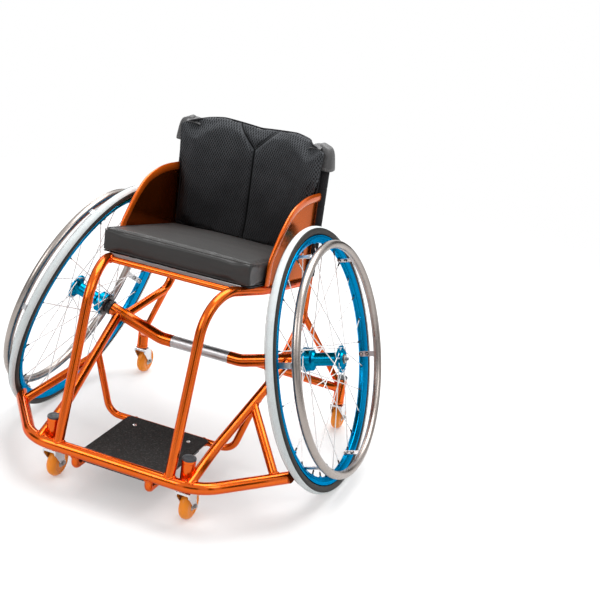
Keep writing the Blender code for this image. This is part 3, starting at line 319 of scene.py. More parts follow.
sleeveAlu = metalFinish("sleeveAlu", {"dark": (0.42, 0.42, 0.43), "light": (0.66, 0.66, 0.67),
                                      "roughness": 0.30, "turned": True})
slateRing = metalFinish("slateRing", {"dark": (0.10, 0.11, 0.125), "light": (0.20, 0.215, 0.24),
                                      "roughness": 0.32, "turned": True})
# the bore ring's brown is a painted reflection of the orange frame
paintedReflectionBore = metalFinish("paintedReflectionBore", {"dark": (0.20, 0.115, 0.055), "light": (0.38, 0.24, 0.13),
                                              "roughness": 0.30, "turned": True})
blackPlastic = mouldedFinish("blackPlastic", {"dark": (0.008, 0.008, 0.009), "light": (0.020, 0.020, 0.022),
                                              "roughness": 0.32, "specular": 0.5})
slatePlastic = mouldedFinish("slatePlastic", {"dark": (0.020, 0.024, 0.028), "light": (0.045, 0.050, 0.056),
                                              "roughness": 0.35, "specular": 0.5})
treadRubber = treadFinish("treadRubber")
wallRubber = mouldedFinish("wallRubber", {"dark": (0.018, 0.017, 0.016), "light": (0.048, 0.045, 0.042),
                                          "roughness": 0.50, "specular": 0.25})
urethane = mouldedFinish("urethane", {"dark": (1.0, 0.255, 0.007), "light": (1.0, 0.335, 0.013),
                                      "roughness": 0.30, "grain": 400, "bump": 0.04})
gripTape = gripFinish("gripTape")
cushionLeather = leatherFinish("cushionLeather", {
    "dark": (0.034, 0.0335, 0.033), "light": (0.056, 0.055, 0.054), "specular": 0.2, "roughness": 0.25,
    "crease": (7, 60, 60), "bump": 0.16})
capLeather = leatherFinish("capLeather", {"dark": (0.045, 0.045, 0.046), "light": (0.095, 0.094, 0.096),
                                          "roughness": 0.34, "crease": (50, 50, 30), "bump": 0.25})
bolsterCloth = leatherFinish("bolsterCloth", {
    "dark": (0.040, 0.039, 0.042), "light": (0.068, 0.066, 0.070), "roughness": 0.5, "specular": 0.3,
    "pebble": 900, "crease": (60, 26, 26)})
webbing = wovenFinish("webbing", {"dark": (0.008, 0.008, 0.009), "light": (0.034, 0.034, 0.037),
                                  "rib": 0.0018, "thread": 0.0011})
greyWebbing = wovenFinish("greyWebbing", {"dark": (0.24, 0.235, 0.235), "light": (0.42, 0.41, 0.41),
                                          "rib": 0.0018, "thread": 0.0011})
flapCloth = wovenFinish("flapCloth", {"dark": (0.012, 0.012, 0.013), "light": (0.030, 0.030, 0.032),
                                      "rib": 0.0010, "thread": 0.0008, "bump": 0.3, "sheen": 0.2})
print("finishes ready:", len(bpy.data.materials))


def roundedPath(corners, bends, pace=0.003):
    # a polyline whose inner corners become arcs of the given radii
    corners = [np.array(corner, float) for corner in corners]
    path = [corners[0]]
    for before, corner, after, bend in zip(corners, corners[1:], corners[2:], bends):
        arrive, leave = unit(corner - before), unit(after - corner)
        turn = math.acos(np.clip(arrive @ leave, -1, 1))
        inward = unit(leave - arrive * (arrive @ leave))
        start = corner - arrive * bend * math.tan(turn / 2)
        steps = max(4, round(bend * turn / pace))
        for step in range(steps + 1):
            angle = turn * step / steps
            path.append(start + inward * bend * (1 - math.cos(angle)) + arrive * bend * math.sin(angle))
    path.append(corners[-1])
    return np.array(path)


def roundedOutline(corners, size, steps=4):
    # a closed outline with each corner eased by up to the given size
    corners = [np.array(corner, float) for corner in corners]
    made = []
    for before, corner, after in zip(corners[-1:] + corners[:-1], corners, corners[1:] + corners[:1]):
        back, ahead = before - corner, after - corner
        start = corner + back * min(size / np.linalg.norm(back), 0.48)
        end = corner + ahead * min(size / np.linalg.norm(ahead), 0.48)
        for step in range(steps + 1):
            share = step / steps
            made.append((1 - share) ** 2 * start + 2 * share * (1 - share) * corner + share ** 2 * end)
    return np.array(made)


def rectangle(half, front, back, inset=0.0):
    return [(-half + inset, front + inset), (half - inset, front + inset), (half - inset, back - inset),
            (-half + inset, back - inset)]


def circle(steps):
    # the angles of a full turn in equal steps
    return np.arange(steps) * 2 * math.pi / steps


def bothHalves(upper):
    # a (radius, height) profile and its mirror image below
    return upper + [(r, -h) for r, h in reversed(upper)]


def walked(path):
    # the length covered at each point of a path
    return np.concatenate([[0], np.cumsum(np.linalg.norm(np.diff(path, axis=0), axis=1))])


def insetOutline(outline, by):
    # an anticlockwise outline drawn in along its corners' bisectors
    arrive = outline - np.roll(outline, 1, 0)
    leave = np.roll(outline, -1, 0) - outline
    normals = []
    for run in (arrive, leave):
        run = run / np.maximum(np.linalg.norm(run, axis=1), 1e-9)[:, None]
        normals.append(np.stack([-run[:, 1], run[:, 0]], 1))
    both = normals[0] + normals[1]
    share = np.maximum(1 + (normals[0] * normals[1]).sum(1), 0.4)
    return outline + both / share[:, None] * by


def evenly(path, pace):
    # a closed path walked again in equal steps
    looped = np.vstack([path, path[:1]])
    covered = walked(looped)
    at = np.linspace(0, covered[-1], max(12, round(covered[-1] / pace)), endpoint=False)
    return np.stack([np.interp(at, covered, looped[:, axis]) for axis in range(3)], 1)


def carriedFrames(path, closed=False):
    # side and up directions along a path, turned no more than the path turns
    ahead = np.roll(path, -1, 0) - path
    behind = path - np.roll(path, 1, 0)
    if not closed:
        ahead[-1], behind[0] = behind[-1], ahead[0]
    tangents = units(units(ahead) + units(behind))
    rough = np.eye(3)[np.argmin(abs(tangents[0]))]
    across = [unit(rough - tangents[0] * (rough @ tangents[0]))]
    for tangent in tangents[1:]:
        across.append(unit(across[-1] - tangent * (across[-1] @ tangent)))
    across = np.array(across)
    if closed:  # the twist left at the join is shared out along the loop
        last = unit(across[-1] - tangents[0] * (across[-1] @ tangents[0]))
        twist = math.atan2(np.cross(last, across[0]) @ tangents[0], last @ across[0])
        share = (twist * np.arange(len(path)) / len(path))[:, None]
        across = across * np.cos(share) + np.cross(tangents, across) * np.sin(share)
    return across, np.cross(tangents, across)


def tidyMesh(mesh, sharp=38):
    # welds doubled points, turns the faces outwards and keeps only real corners sharp
    bm = bmesh.new()
    bm.from_mesh(mesh)
    bmesh.ops.remove_doubles(bm, verts=bm.verts[:], dist=2e-6)
    bmesh.ops.recalc_face_normals(bm, faces=bm.faces[:])
    for face in bm.faces:
        face.smooth = True
    for edge in bm.edges:
        edge.smooth = len(edge.link_faces) != 2 or edge.calc_face_angle(0) < math.radians(sharp)
    bm.to_mesh(mesh)
    bm.free()


def putPiece(name, mesh, finishes, nodes=(), body="frame", place=chair):
    piece = bpy.data.objects.new(name, mesh)
    scene.collection.objects.link(piece)
    piece.matrix_world = place
    for finish in finishes:
        mesh.materials.append(finish)
    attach(piece, body)
    if nodes:
        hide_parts(*nodes)
    return piece


class Shape:
    # gathers simple forms into one mesh; coat is the place of a face's finish in the list
    def __init__(self):
        self.points = []
        self.lays = []
        self.faces = []
        self.coats = []
        self.count = 0

    def add(self, points, faces, place=None, coat=0, lay=None):
        points = np.asarray(points, float).reshape(-1, 3)
        self.lays.append(points if lay is None else np.asarray(lay, float).reshape(-1, 3))
        if place is not None:
            turn = np.array(place, float)
            points = points @ turn[:3, :3].T + turn[:3, 3]
        self.points.append(points)
        self.faces += [[corner + self.count for corner in face] for face in faces]
        self.coats += [coat] * len(faces)
        self.count += len(points)

    def loft(self, rings, place=None, coat=0, joined=False, looped=True, ends=True, lay=None):
        # rings of like point counts; joined ties the last ring to the first, looped closes each ring
        rings = np.asarray(rings, float)
        number, around = rings.shape[:2]
        faces = []
        for row in range(number if joined else number - 1):
            low, high = row * around, (row + 1) % number * around
            for corner in range(around if looped else around - 1):
                turn = (corner + 1) % around
                faces.append((low + corner, low + turn, high + turn, high + corner))
        if ends and not joined:
            faces.append(list(range(around))[::-1])
            faces.append([(number - 1) * around + corner for corner in range(around)])
        self.add(rings.reshape(-1, 3), faces, place, coat, lay)

    def tube(self, path, radius, around=20, coat=0, closed=False):
        path = np.asarray(path, float)
        across, up = carriedFrames(path, closed)
        radii = np.broadcast_to(radius, len(path))[:, None, None]
        angles = circle(around)
        rings = np.cos(angles)[None, :, None] * across[:, None] + np.sin(angles)[None, :, None] * up[:, None]
        self.loft(path[:, None] + radii * rings, coat=coat, joined=closed)

    def lathe(self, profile, steps=96, place=None, coat=0, closed=True):
        # a (radius, height) profile turned round Z
        profile = np.asarray(profile, float)
        angles = circle(steps)
        rings = np.stack([
            np.outer(np.cos(angles), profile[:, 0]), np.outer(np.sin(angles), profile[:, 0]),
            np.broadcast_to(profile[:, 1], (steps, len(profile)))], 2)
        self.loft(rings, place, coat, joined=True, looped=closed)

    def rod(self, radius, low, high, steps=24, place=None, coat=0):
        self.lathe([(0, low), (radius, low), (radius, high), (0, high)], steps, place, coat, closed=False)

    def plate(self, outline, thickness, edge=0.0006, place=None, coat=0, steps=2):
        # an anticlockwise outline in XY, from Z 0 up to the thickness, with rounded edges
        outline = np.asarray(outline, float)
        rings = []
        for low in (True, False):
            for step in range(steps + 1):
                angle = math.pi / 2 * step / steps
                lift = edge * (1 - math.sin(angle if low else math.pi / 2 - angle))
                drawn = insetOutline(outline, edge * (1 - math.cos(math.pi / 2 - angle if low else angle)))
                height = lift if low else thickness - lift
                rings.append(np.column_stack([drawn, np.full(len(drawn), height)]))
        self.loft(rings, place, coat)

    def mesh(self, name, sharp=38):
        mesh = bpy.data.meshes.new(name)
        mesh.from_pydata(np.concatenate(self.points).tolist(), [], self.faces)
        mesh.polygons.foreach_set("material_index", self.coats)
        lay = mesh.attributes.new("lay", "FLOAT_VECTOR", "POINT")
        lay.data.foreach_set("vector", np.concatenate(self.lays).astype(np.float32).ravel())
        tidyMesh(mesh, sharp)
        return mesh


def facing(spot, way):
    return Matrix.Translation(spot) @ way.to_track_quat("Z", "Y").to_matrix().to_4x4()


def axisPlace(start, end):
    # a frame at start whose Z points to end
    return facing(Vector(start), Vector(end) - Vector(start))


def boltHead(shape, place, size, height, coat=0, hexed=True):
    # a hexagon or socket head standing on Z 0, on its washer
    shape.lathe([(0, 0), (size * 1.35, 0), (size * 1.35, height * 0.2), (size * 0.9, height * 0.28),
                 (0, height * 0.28)], 28, place, coat, closed=False)
    if hexed:
        outline = [(size * math.cos(k * math.pi / 3), size * math.sin(k * math.pi / 3)) for k in range(6)]
        shape.plate(roundedOutline(outline, size * 0.16, 2), height, size * 0.12, place, coat)
    else:
        shape.lathe([(0, 0), (size, 0), (size, height * 0.7), (size * 0.82, height), (size * 0.46, height),
                     (size * 0.42, height * 0.55), (0, height * 0.55)], 28, place, coat, closed=False)


# The camera stands where the photograph was taken from
cameraView = {
    "place": (1.06669, -2.41503, 1.34629), "right": (0.92291127, 0.360044, 0.13639322),
    "up": (-0.2407672, 0.26327042, 0.93419476), "back": (0.30044292, -0.89501788, 0.32966202), "lens": 69.4156,
}
camera = bpy.data.objects.new("camera", bpy.data.cameras.new("camera"))
camera.data.lens = cameraView["lens"]
camera.matrix_world = Matrix.Translation(cameraView["place"]) @ Matrix(
    [cameraView["right"], cameraView["up"], cameraView["back"]]).transposed().to_4x4()
scene.collection.objects.link(camera)
scene.camera = camera

studio = {
    "floor": (0.95, 0.95, 0.95), "floorSize": 12.0, "fade": (1.3, 3.0), "thin": 0.35, "world": 0.41,
    "lamps": [  # place, aim, size, watts
        ((-1.9, -3.0, 2.7), (0, 0, 0.3), 1.8, 50), ((2.6, -1.2, 3.0), (0, 0, 0.4), 1.4, 24),
        ((0.3, 1.2, 4.0), (0, 0, 0.3), 3.4, 195), ((-2.4, 2.6, 2.4), (0, 0, 0.4), 1.2, 20)],
    "flags": [  # direction, width, low edge, high edge: boards 4.6 m away that only reflections see
        (-62, 2.3, 0.2, 2.3), (-22, 0.9, 0.1, 2.9), (14, 2.4, 0.2, 2.4), (52, 0.8, 0.1, 2.8), (86, 2.1, 0.2, 2.2),
        (128, 0.9, 0.1, 2.8), (166, 2.2, 0.2, 2.2), (-150, 0.9, 0.1, 2.8), (-104, 1.9, 0.2, 2.3)],
    "flagReach": 4.6,
    "flagShade": 0.035,
}


def flatPiece(name, corners, finish):
    piece = bpy.data.objects.new(name, bpy.data.meshes.new(name))
    piece.data.from_pydata(corners, [], [(0, 1, 2, 3)])
    piece.data.materials.append(finish.material)
    scene.collection.objects.link(piece)
    return piece


def makeStudio():
    scene.view_settings.view_transform = "Standard"
    world = bpy.data.worlds.new("studio")
    scene.world = world
    world.use_nodes = True
    sheet = NodeSheet(world.node_tree)
    rays = {name: sheet.node("ShaderNodeLightPath", output=index)
            for name, index in (("camera", 0), ("glossy", 3), ("transmission", 6))}
    seen = sheet.node("ShaderNodeMath", {"operation": "ADD", "use_clamp": True},
                      {0: rays["camera"], 1: rays["glossy"] + rays["transmission"]})
    sheet.feed(world.node_tree.nodes["Background"],
               {"Color": (1, 1, 1), "Strength": studio["world"] + seen * (1 - studio["world"])})
    paint = Finish("floorPaint", {"Base Color": studio["floor"], "Roughness": 0.9, "Specular IOR Level": 0.1})
    share = paint.eased(paint.reach(paint.spot()), *studio["fade"], studio["thin"], 1.0)
    ground, clear = Wire(paint, paint.shader.outputs[0]), paint.node("ShaderNodeBsdfTransparent")
    faded = paint.node("ShaderNodeMixShader", {}, {0: share, 1: ground, 2: clear})
    paint.feed(paint.tree.nodes["Material Output"], {"Surface": faded})
    half = studio["floorSize"] / 2
    floor = flatPiece("floor", [(x, y, 0) for x, y in rectangle(half, -half, half)], paint)
    floor.location.z = -0.0004
    board = Finish("flagBoard", {"Base Color": (studio["flagShade"],) * 3, "Roughness": 1.0})
    for index, (direction, width, low, high) in enumerate(studio["flags"]):
        corners = [(x, -studio["flagReach"], z) for x, z in rectangle(width / 2, low, high)]
        flag = flatPiece(f"flag{index}", corners, board)
        flag.matrix_world = Matrix.Rotation(math.radians(direction), 4, "Z")
        for ray in ("camera", "diffuse", "transmission", "shadow", "volume_scatter"):
            setattr(flag, f"visible_{ray}", False)
    for index, (place, aim, size, watts) in enumerate(studio["lamps"]):
        lamp = bpy.data.objects.new(f"lamp{index}", bpy.data.lights.new(f"lamp{index}", "AREA"))
        lamp.data.size = size
        lamp.data.energy = watts
        lamp.matrix_world = facing(Vector(place), Vector(place) - Vector(aim))
        scene.collection.objects.link(lamp)


makeStudio()
print("camera and studio ready")


# Frame: painted tubes, their welds, caster housings and the axle
wheelSet = {
    "camber": math.radians(16.5), "halfTrack": 0.318, "tyreWidth": 0.0245, "tyreRadius": 0.320,
    "tyreHeight": 0.0212, "section": ((0.0, 0.80), (0.34, 1.0), (0.70, 0.86), (0.94, 0.42)),
    "rolled": {1: math.radians(-15), -1: math.radians(7.5)},
}
wheelSet["axleZ"] = max(
    (wheelSet["tyreRadius"] + wheelSet["tyreHeight"] * (up - 1)) * math.cos(wheelSet["camber"])
    + wheelSet["tyreWidth"] / 2 * out * math.sin(wheelSet["camber"])
    for up, out in (*wheelSet["section"], (1.0, 0.0)))
tubing = {"frame": 0.0115, "cross": 0.0075, "post": 0.0110, "down": 0.0080, "rearStrut": 0.0110, "wing": 0.0105,
          "plateTube": 0.0085, "plateRail": 0.0088, "arm": 0.0158, "sleeve": 0.0152, "gap": 0.00013}
housings = {
    "front": {"x": 0.1705, "y": -0.3865, "radius": 0.016, "top": 0.159},
    "rear": {"x": 0.2965, "y": 0.270, "radius": 0.015, "top": 0.156},
}
casterSet = {"radius": 0.035, "width": 0.025, "trail": 0.027, "crownTop": 0.0815, "crownBottom": 0.075,
             "housingBottom": 0.0845}
seatRail = {"x": 0.187, "front": -0.205, "height": 0.498, "slope": 0.185, "lift": 0.0118}
diagonal = {"x": 0.235, "knee": (0.193, -0.300, 0.155)}
plateRail = {"x": 0.093, "z": 0.0712, "rear": -0.130, "saddle": 0.0103}
stemRoom = {"tubes": ("down_tube", "rear_strut"), "radius": 0.0061, "low": 0.088, "high": 0.1385,
            "reach": 0.0125}
postX, postY = 0.190, 0.190
rearSpot = housings["rear"]["x"], housings["rear"]["y"]


def axleHeight(x):
    return wheelSet["axleZ"] - (wheelSet["halfTrack"] - max(x, 0.111)) * math.tan(wheelSet["camber"])


def railHeight(y):
    return seatRail["height"] - seatRail["slope"] * (y - seatRail["front"])


def wingY(x):
    return bumper["y"] + (x - bumper["corner"]) * math.tan(bumper["wing"])


def onAxle(side, along):
    lean = wheelSet["camber"]
    hub = np.array([side * wheelSet["halfTrack"], 0, wheelSet["axleZ"]])
    return hub + along * np.array([side * math.cos(lean), 0, math.sin(lean)])


def mirrored(points, side):
    return [(side * x, y, z) for x, y, z in points]


def onDiagonal(y):
    top, knee = np.array([diagonal["x"], 0, axleHeight(diagonal["x"])]), np.array(diagonal["knee"])
    return top + (knee - top) * y / knee[1]


wingEndX = wheelSet["halfTrack"] + wheelSet["tyreRadius"] * math.sin(wheelSet["camber"])
routes = {
    "side_frame": ([(0.14, bumper["y"], bumper["z"]), (0.14, -0.315, railHeight(-0.315)),
                    (seatRail["x"], -0.105, railHeight(-0.105)), (seatRail["x"], postY, railHeight(postY))],
                   (0.104, 0.25), "frame"),
    "axle_arm": ([(0.0793, 0, axleHeight(0)), (0.111, 0, axleHeight(0)), onAxle(1, -0.0656)], (0.080,), "arm"),
    "back_post": ([(0.22, 0, axleHeight(0.22)), (postX, postY, 0.317), (postX, postY, 0.764)],
                  (0.045,), "post"),
    "down_tube": ([(postX, postY, 0.336), (*rearSpot, 0.128)], (), "down"),
    "rear_strut": ([(0.135, 0, axleHeight(0.135)), (*rearSpot, 0.125)], (), "rearStrut"),
    "diagonal": ([
        (0.188, bumper["y"], 0.112), diagonal["knee"], (diagonal["x"], 0, axleHeight(diagonal["x"]))],
        (0.6,), "frame"),
    "wing_strut": ([(0.3324, wingY(0.3324), bumper["z"]), onDiagonal(-0.152)], (), "wing"),
    "footplate_rail": ([
        (plateRail["x"], bumper["y"], bumper["z"]), (plateRail["x"], bumper["y"], plateRail["z"]),
        (plateRail["x"], plateRail["rear"], plateRail["z"])], (0.012,), "plateRail"),
}


def tubeMesh(name, path, radius, around=32):
    shape = Shape()
    shape.tube(path, radius, around)
    return shape.mesh(name)


def surfaceOf(mesh):
    return BVHTree.FromPolygons([vertex.co[:] for vertex in mesh.vertices],
                                [polygon.vertices[:] for polygon in mesh.polygons])


def weldBead(shape, loop, size=0.0026, ripple=0.0030):
    # a bead of overlapping pools laid along a closed line
    path = evenly(np.array(loop), 0.00065)
    length = np.linalg.norm(np.roll(path, -1, 0) - path, axis=1).sum()
    pools = 2 * math.pi * round(length / ripple) * np.arange(len(path)) / len(path)
    shape.tube(path, size * (1 + 0.16 * np.sin(pools)), 8, closed=True)


def weldRing(shape, end, before, radius, host):
    # the line in which a tube that runs from before to end meets its host
    end, before = np.array(end, float), np.array(before, float)
    along = unit(end - before)
    across = unit(np.cross(along, (0.31, 0.87, 0.21)))
    up = np.cross(along, across)
    loop = []
    for angle in circle(80):
        rim = end + radius * (math.cos(angle) * across + math.sin(angle) * up)
        start = rim - along * 0.055
        hit = host.ray_cast(Vector(start), Vector(along), 0.085)[0]
        loop.append(hit if hit is not None else host.find_nearest(Vector(rim))[0])
    weldBead(shape, loop)


def housingWeld(shape, side, host):
    # the closed line in which an upright front housing meets the bumper
    look = housings["front"]
    upper, lower = [], []
    for angle in np.linspace(-math.pi, 0, 90):
        x = side * look["x"] + look["radius"] * math.cos(angle)
        y = look["y"] + look["radius"] * math.sin(angle)
        top = host.ray_cast(Vector((x, y, 0.2)), Vector((0, 0, -1)), 0.2)[0]
        low = host.ray_cast(Vector((x, y, 0.0)), Vector((0, 0, 1)), 0.2)[0]
        if top is not None and low is not None:
            upper.append(top)
            lower.append(low)
    weldBead(shape, upper + lower[::-1], 0.0029)


def makeBumper():
    end = (wingEndX, wingY(wingEndX), bumper["z"])
    corner = (bumper["corner"], bumper["y"], bumper["z"])
    path = roundedPath([end, corner, *mirrored([corner, end], -1)], (bumper["bend"],) * 2)
    mesh = tubeMesh("frontBumper", path, bumper["tube"], 40)
    bm = bmesh.new()
    bm.from_mesh(mesh)
    for side in (1, -1):  # the wings end parallel to the wheels, closed with a flat plug
        cut = bmesh.ops.bisect_plane(
            bm, geom=bm.verts[:] + bm.edges[:] + bm.faces[:], dist=1e-6,
            plane_co=onAxle(side, -(wheelSet["tyreWidth"] / 2 + 0.006)),
            plane_no=onAxle(side, 1) - onAxle(side, 0), clear_outer=True)
        rim = [item for item in cut["geom_cut"] if isinstance(item, bmesh.types.BMEdge)]
        bmesh.ops.contextual_create(bm, geom=rim)
    bm.to_mesh(mesh)
    bm.free()
    tidyMesh(mesh)
    putPiece("frontBumper", mesh, [framePaint], ["front_bumper"])
    return surfaceOf(mesh)


def bored(mesh, cutter):
    # takes the cutter's shape out of the mesh
    cut = bpy.data.objects.new("cutter", cutter)
    piece = bpy.data.objects.new("bored", mesh)
    for item in (cut, piece):
        scene.collection.objects.link(item)
    boolean = piece.modifiers.new("bore", "BOOLEAN")
    boolean.operation = "DIFFERENCE"
    boolean.solver = "EXACT"
    boolean.object = cut
    made = bpy.data.meshes.new_from_object(piece.evaluated_get(bpy.context.evaluated_depsgraph_get()))
    for item in (cut, piece):
        bpy.data.objects.remove(item, do_unlink=True)
    tidyMesh(made)
    return made


def housingPlace(end, side):
    return Matrix.Translation((side * housings[end]["x"], housings[end]["y"], 0))


def stemBored(name, path, radius, side):
    # the rear caster's stem turns in a bore through the tube's end, which lies inside the housing
    ring = path[-1] + unit(path[-2] - path[-1]) * stemRoom["reach"]
    room = Shape()
    room.rod(stemRoom["radius"], stemRoom["low"], stemRoom["high"], 32, housingPlace("rear", side))
    return bored(tubeMesh(name, np.array([*path[:-1], ring, path[-1]]), radius), room.mesh("stemRoom"))


def makeHousing(end, label, side):
    look, place = housings[end], housingPlace(end, side)
    low, high, radius = casterSet["housingBottom"], look["top"], look["radius"]
    name = label + end.capitalize()
    shell = Shape()
    lip = radius * 0.02
    profile = [(0.0075, low), (radius, low), (radius + lip, low + 0.0012), (radius + lip, low + 0.006),
               (radius - lip, low + 0.0072), (radius - lip, high - 0.0072), (radius, high - 0.006),
               (radius, high), (0.0075, high)]
    shell.lathe(roundedOutline(profile, 0.0004, 2), 64, place)
    putPiece(f"{name}Housing", shell.mesh("housing"), [framePaint], [f"{label}_{end}_housing"])
    top, wide = high + tubing["gap"], radius * 1.03
    cap = Shape()
    profile = [(0, 0), (1, 0), (1, 0.0022), (0.955, 0.0038), (0.74, 0.0045), (0.66, 0.0038), (0.30, 0.0037),
               (0.26, 0.0042), (0, 0.0044)]
    cap.lathe([(wide * share, top + lift) for share, lift in profile], 56, place, closed=False)
    putPiece(f"{name}Cap", cap.mesh("cap", 30), [slatePlastic], [f"{label}_{end}_cap"])
    solid = Shape()
    solid.rod(radius, low, high, 64, place)
    return surfaceOf(solid.mesh("host"))


def makeTubes(welds, bumperHost):
    # the tubes of both sides, each welded to its neighbours; what the cross tubes meet is handed back
    hosts = {}
    for label, side in sides.items():
        paths, host = {}, {"bumper": bumperHost}
        for name, (corners, bends, size) in routes.items():
            path = roundedPath(mirrored(corners, side), bends)
            piece = f"{label}_{name}"
            mesh = tubeMesh(camel(piece), path, tubing[size], 40 if size == "arm" else 32)
            paths[name], host[name] = path, surfaceOf(mesh)
            if name in stemRoom["tubes"]:
                mesh = stemBored(camel(piece), path, tubing[size], side)
            putPiece(camel(piece), mesh, [framePaint], [piece])
        makeHousing("front", label, side)
        host["housing"] = makeHousing("rear", label, side)
        housingWeld(welds, side, bumperHost)
        joints = [
            ("side_frame", 0, "bumper"), ("side_frame", -1, "back_post"), ("back_post", 0, "axle_arm"),
            ("rear_strut", 0, "axle_arm"), ("rear_strut", -1, "housing"), ("down_tube", 0, "back_post"),
            ("down_tube", -1, "housing"), ("diagonal", 0, "bumper"), ("diagonal", -1, "axle_arm"),
            ("wing_strut", 0, "bumper"), ("wing_strut", -1, "diagonal"), ("footplate_rail", 0, "bumper")]
        for name, end, target in joints:
            path = paths[name] if end == 0 else paths[name][::-1]
            weldRing(welds, path[0], path[1], tubing[routes[name][2]], host[target])
        hosts[side] = host
    return hosts


def makeCrossTubes(welds, hosts):
    corners, bends, _ = routes["side_frame"]
    cross = roundedPath(corners, bends)
    end = cross[np.argmin(abs(cross[:, 1] + 0.2195) + (cross[:, 2] < 0.3))]
    corners = [onDiagonal(plateRail["rear"]), np.array([0.168, plateRail["rear"], 0.0715])]
    platePath = roundedPath([*corners, *mirrored(corners[::-1], -1)], (0.040, 0.040))
    for name, path, size, carrier in (("seat_front_tube", [end * (-1, 1, 1), end], "cross", "side_frame"),
                                      ("footplate_support_tube", platePath, "plateTube", "diagonal")):
        mesh = tubeMesh(camel(name), path, tubing[size], 28)
        putPiece(camel(name), mesh, [framePaint], [name])
        for side, host in hosts.items():
            ordered = path if path[0][0] * side > 0 else path[::-1]
            weldRing(welds, ordered[0], ordered[1], tubing[size], host[carrier])
    plateTube = surfaceOf(mesh)  # the last one made carries the footplate's rails
    for side in hosts:
        rail = mirrored(routes["footplate_rail"][0], side)
        weldRing(welds, rail[-1], rail[-2], tubing["plateRail"], plateTube)


def makeSleeve():
    sleeve = Shape()
    reach, radius = 0.079, tubing["sleeve"]
    sleeve.lathe(bothHalves([
        (radius - 0.003, reach), (radius - 0.0006, reach), (radius, reach - 0.0008), (radius, reach - 0.0058),
        (radius - 0.0005, reach - 0.0062), (radius - 0.0005, reach - 0.0070), (radius, reach - 0.0074)]), 72)
    turn = Matrix.Translation((0, 0, axleHeight(0))) @ Matrix.Rotation(math.pi / 2, 4, "Y")
    putPiece("axleSleeve", sleeve.mesh("axleSleeve", 30), [sleeveAlu], ["axle_sleeve"],
             place=chair @ turn)


def makeFrame():
    welds = Shape()
    makeCrossTubes(welds, makeTubes(welds, makeBumper()))
    putPiece("frameWelds", welds.mesh("frameWelds", 80), [framePaint])
    makeSleeve()


makeFrame()
print("frame tubes and welds ready")


# Wheels: pieces are made in the wheel's own frame, with Z out along the axle
hubSet = {"bore": 0.00648, "flange": 0.0325, "outer": 0.0485, "inner": -0.0435, "half": 0.00225,
          "circle": 0.0272, "holes": 14, "holeCircle": 0.0238, "holeSize": 0.0020}
rimSet = {"radius": 0.2985, "width": 0.023, "depth": 0.019}
spokeSet = {"count": 28, "lean": 6, "shift": 0.0013, "spread": 0.0022, "radius": 0.0013, "end": 0.2787,
            "nipple": 0.0118, "nippleRadius": 0.0021}
pushSet = {"radius": 0.274, "tube": 0.010, "offset": 0.046, "tabs": 6, "tabWidth": 0.014, "tabThick": 0.0025}


def wheelPlace(side):
    turn = Matrix.Rotation(side * (math.pi / 2 - wheelSet["camber"]), 4, "Y")
    return chair @ Matrix.Translation(onAxle(side, 0)) @ turn


def rolledOn(mesh, side):
    # turns a wheel's mesh to where the wheel has rolled to
    mesh.transform(Matrix.Rotation(wheelSet["rolled"][side], 4, "Z"))
    return mesh


def putOnWheel(label, name, mesh, finishes, node=None, body=None):
    nodes = [f"{label}_{node}"] if node else []
    putPiece(f"{label}{name}", mesh, finishes, nodes, body or f"{label}_wheel",
             wheelPlace(sides[label]))


def makeTyre(label):
    seat = wheelSet["tyreRadius"] - wheelSet["tyreHeight"]
    half = wheelSet["tyreWidth"] / 2
    upper = [(seat + wheelSet["tyreHeight"] * up, half * out) for up, out in wheelSet["section"]]
    outline = [(seat, 0.0), *upper, (wheelSet["tyreRadius"], 0.0), *((r, -h) for r, h in reversed(upper))]
    section = roundedOutline(outline, 0.0042, 5)
    edge = seat + wheelSet["tyreHeight"] * 0.76  # the tread begins here
    shape = Shape()
    for here, there in zip(section, np.roll(section, -1, 0)):
        shape.lathe([here, there], 192, coat=0 if min(here[0], there[0]) > edge else 1, closed=False)
    for way in (1, -1):  # a fine moulded rib below the tread on each side
        rib = [(edge - 0.0016 + 0.0005 * math.cos(a), way * (half * 0.985 - 0.0005) + 0.0005 * math.sin(a))
               for a in circle(6)]
        shape.lathe(rib, 192, coat=1)
    putOnWheel(label, "Tyre", shape.mesh("tyre", 50), [treadRubber, wallRubber], "tyre")


def makeRim(label, side):
    radius, half, depth = rimSet["radius"], rimSet["width"] / 2, rimSet["depth"]
    bed, shoulder = radius - depth, radius - depth * 0.42
    wall = [(radius, half * 0.90), (radius - 0.0012, half), (radius - 0.0030, half),
            (radius - 0.0036, half * 0.965), (radius - 0.0042, half * 0.99), (shoulder, half),
            (bed + 0.0010, half * 0.46), (bed, half * 0.34)]
    shape = Shape()
    shape.lathe(roundedOutline(bothHalves(wall), 0.0010, 3), 192)
    for hole in range(spokeSet["count"]):  # a raised seat under each nipple
        _, end = spokeLine(hole)
        outward = unit(end * (1, 1, 0))
        place = axisPlace(end + outward * 0.002, end - outward * 0.0012)
        shape.lathe([(0, 0), (0.0042, 0), (0.0034, 0.0028), (0.0024, 0.0032), (0, 0.0032)], 16, place,
                    closed=False)
    stem = axisPlace((bed + 0.002, 0, 0), (bed - 0.03, 0, 0))  # the valve
    shape.lathe([(0, 0), (0.0045, 0), (0.0045, 0.0035), (0.0030, 0.0040), (0.0028, 0.022), (0.0036, 0.023),
                 (0.0036, 0.030), (0.0028, 0.0315), (0, 0.0315)], 20, stem, 1, closed=False)
    putOnWheel(label, "Rim", rolledOn(shape.mesh("rim"), side), [rimBlue, blackPlastic], "rim")


def onCircle(radius, angle, height):
    return np.array([radius * math.cos(angle), radius * math.sin(angle), height])


